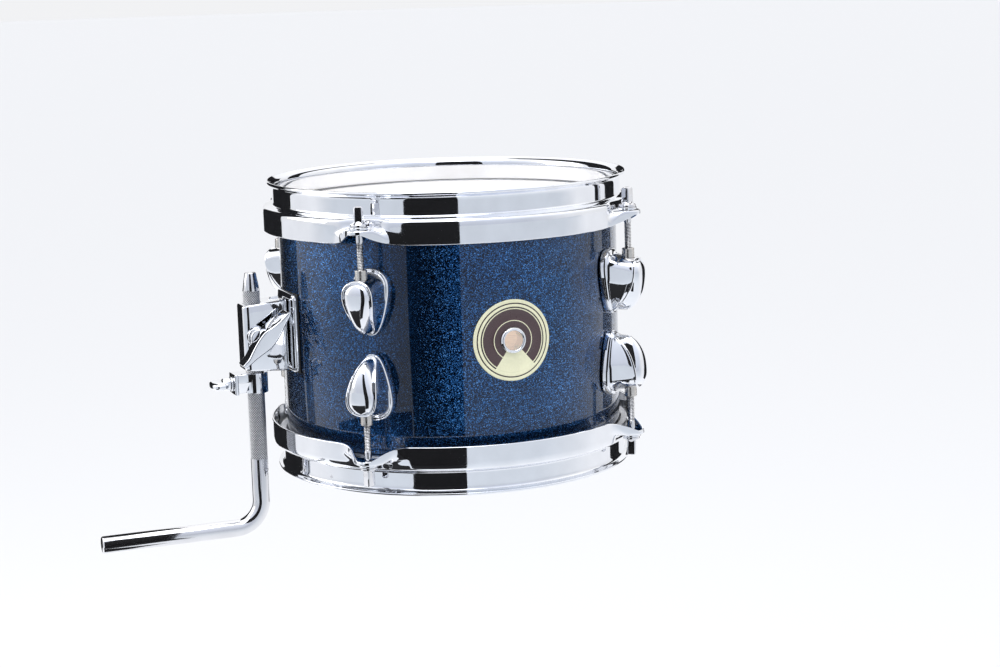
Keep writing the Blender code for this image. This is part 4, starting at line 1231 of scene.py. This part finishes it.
def add_strip(name, camera_angle, start, end, first, second, material):
    """A strip between two (distance, height) lines round the drum, seen by reflections only."""
    steps = 12
    rings = []
    for count in range(steps + 1):
        angle = camera_angle + math.radians(mix(start, end, count / steps))
        rings.append([(DRUM.x + distance * math.cos(angle),
                       DRUM.y + distance * math.sin(angle), height)
                      for distance, height in (first, second)])
    card = stage_mesh(name, skin(name, rings, closed=False, caps=False), material)
    card.visible_camera = False
    card.visible_diffuse = False
    card.visible_shadow = False
    card.visible_transmission = False


def add_light(name, camera_angle, turn, height, distance, side, power):
    """A square softbox aimed at the drum."""
    angle = camera_angle + math.radians(turn)
    data = bpy.data.lights.new(name, "AREA")
    data.shape = "RECTANGLE"
    data.size = data.size_y = side
    data.energy = power
    light = bpy.data.objects.new(name, data)
    spot = DRUM + Vector((distance * math.cos(angle), distance * math.sin(angle), height))
    facing = (spot - DRUM).to_track_quat("Z", "Y")
    light.matrix_world = Matrix.Translation(spot) @ facing.to_matrix().to_4x4()
    bpy.context.scene.collection.objects.link(light)


def add_world(camera_angle):
    """A white room, a little greyer on the camera's side."""
    world = bpy.data.worlds.new("room")
    world.use_nodes = True
    bpy.context.scene.world = world
    room = Nodes(world.node_tree)
    where = room.node("ShaderNodeTexCoord").outputs["Generated"]
    towards = room.vector("DOT_PRODUCT", where, heading(camera_angle))
    share = room.ranged(towards, 0.0, 1.0, -0.1, 0.8, "SMOOTHSTEP")
    height = room.node("ShaderNodeSeparateXYZ", Vector=where).outputs["Z"]
    background = room.tree.nodes["Background"]
    room.set(background, "Color", room.blend(share, (0.885, 0.89, 0.905), (0.60, 0.635, 0.72)))
    room.set(background, "Strength", room.ranged(height, 1.0, 1.45, 0.05, 0.7))


def build_studio():
    camera_angle = add_camera()
    bm = bmesh.new()
    bmesh.ops.create_circle(bm, cap_ends=True, segments=96, radius=60.0,
                            matrix=Matrix.Translation((DRUM.x, DRUM.y, FLOOR_Z)))
    stage_mesh("floor", finished(bm, "floor"), floor_paint(camera_angle))
    black = plain("black_card", (0.006, 0.006, 0.007))
    for name, *span in CARDS:
        add_strip(name, camera_angle, *span, black)
    add_light("softbox_left", camera_angle, turn=-95, height=0.9, distance=2.1, side=1.5,
              power=11.0)
    add_light("softbox_top", camera_angle, turn=-20, height=2.4, distance=0.7, side=2.0,
              power=30.0)
    add_world(camera_angle)
    bpy.context.scene.view_settings.view_transform = "Standard"


# ---------------------------------------------------------------- the whole scene

def build_scene():
    build_wrap()
    build_heads()
    build_hoops()
    build_lugs()
    build_rods()
    build_badge()
    build_vent()
    build_base_plate()
    build_block()
    build_wing_bolt()
    build_arm()
    build_memory_lock()
    dress_cad_nodes()
    build_studio()


build_scene()
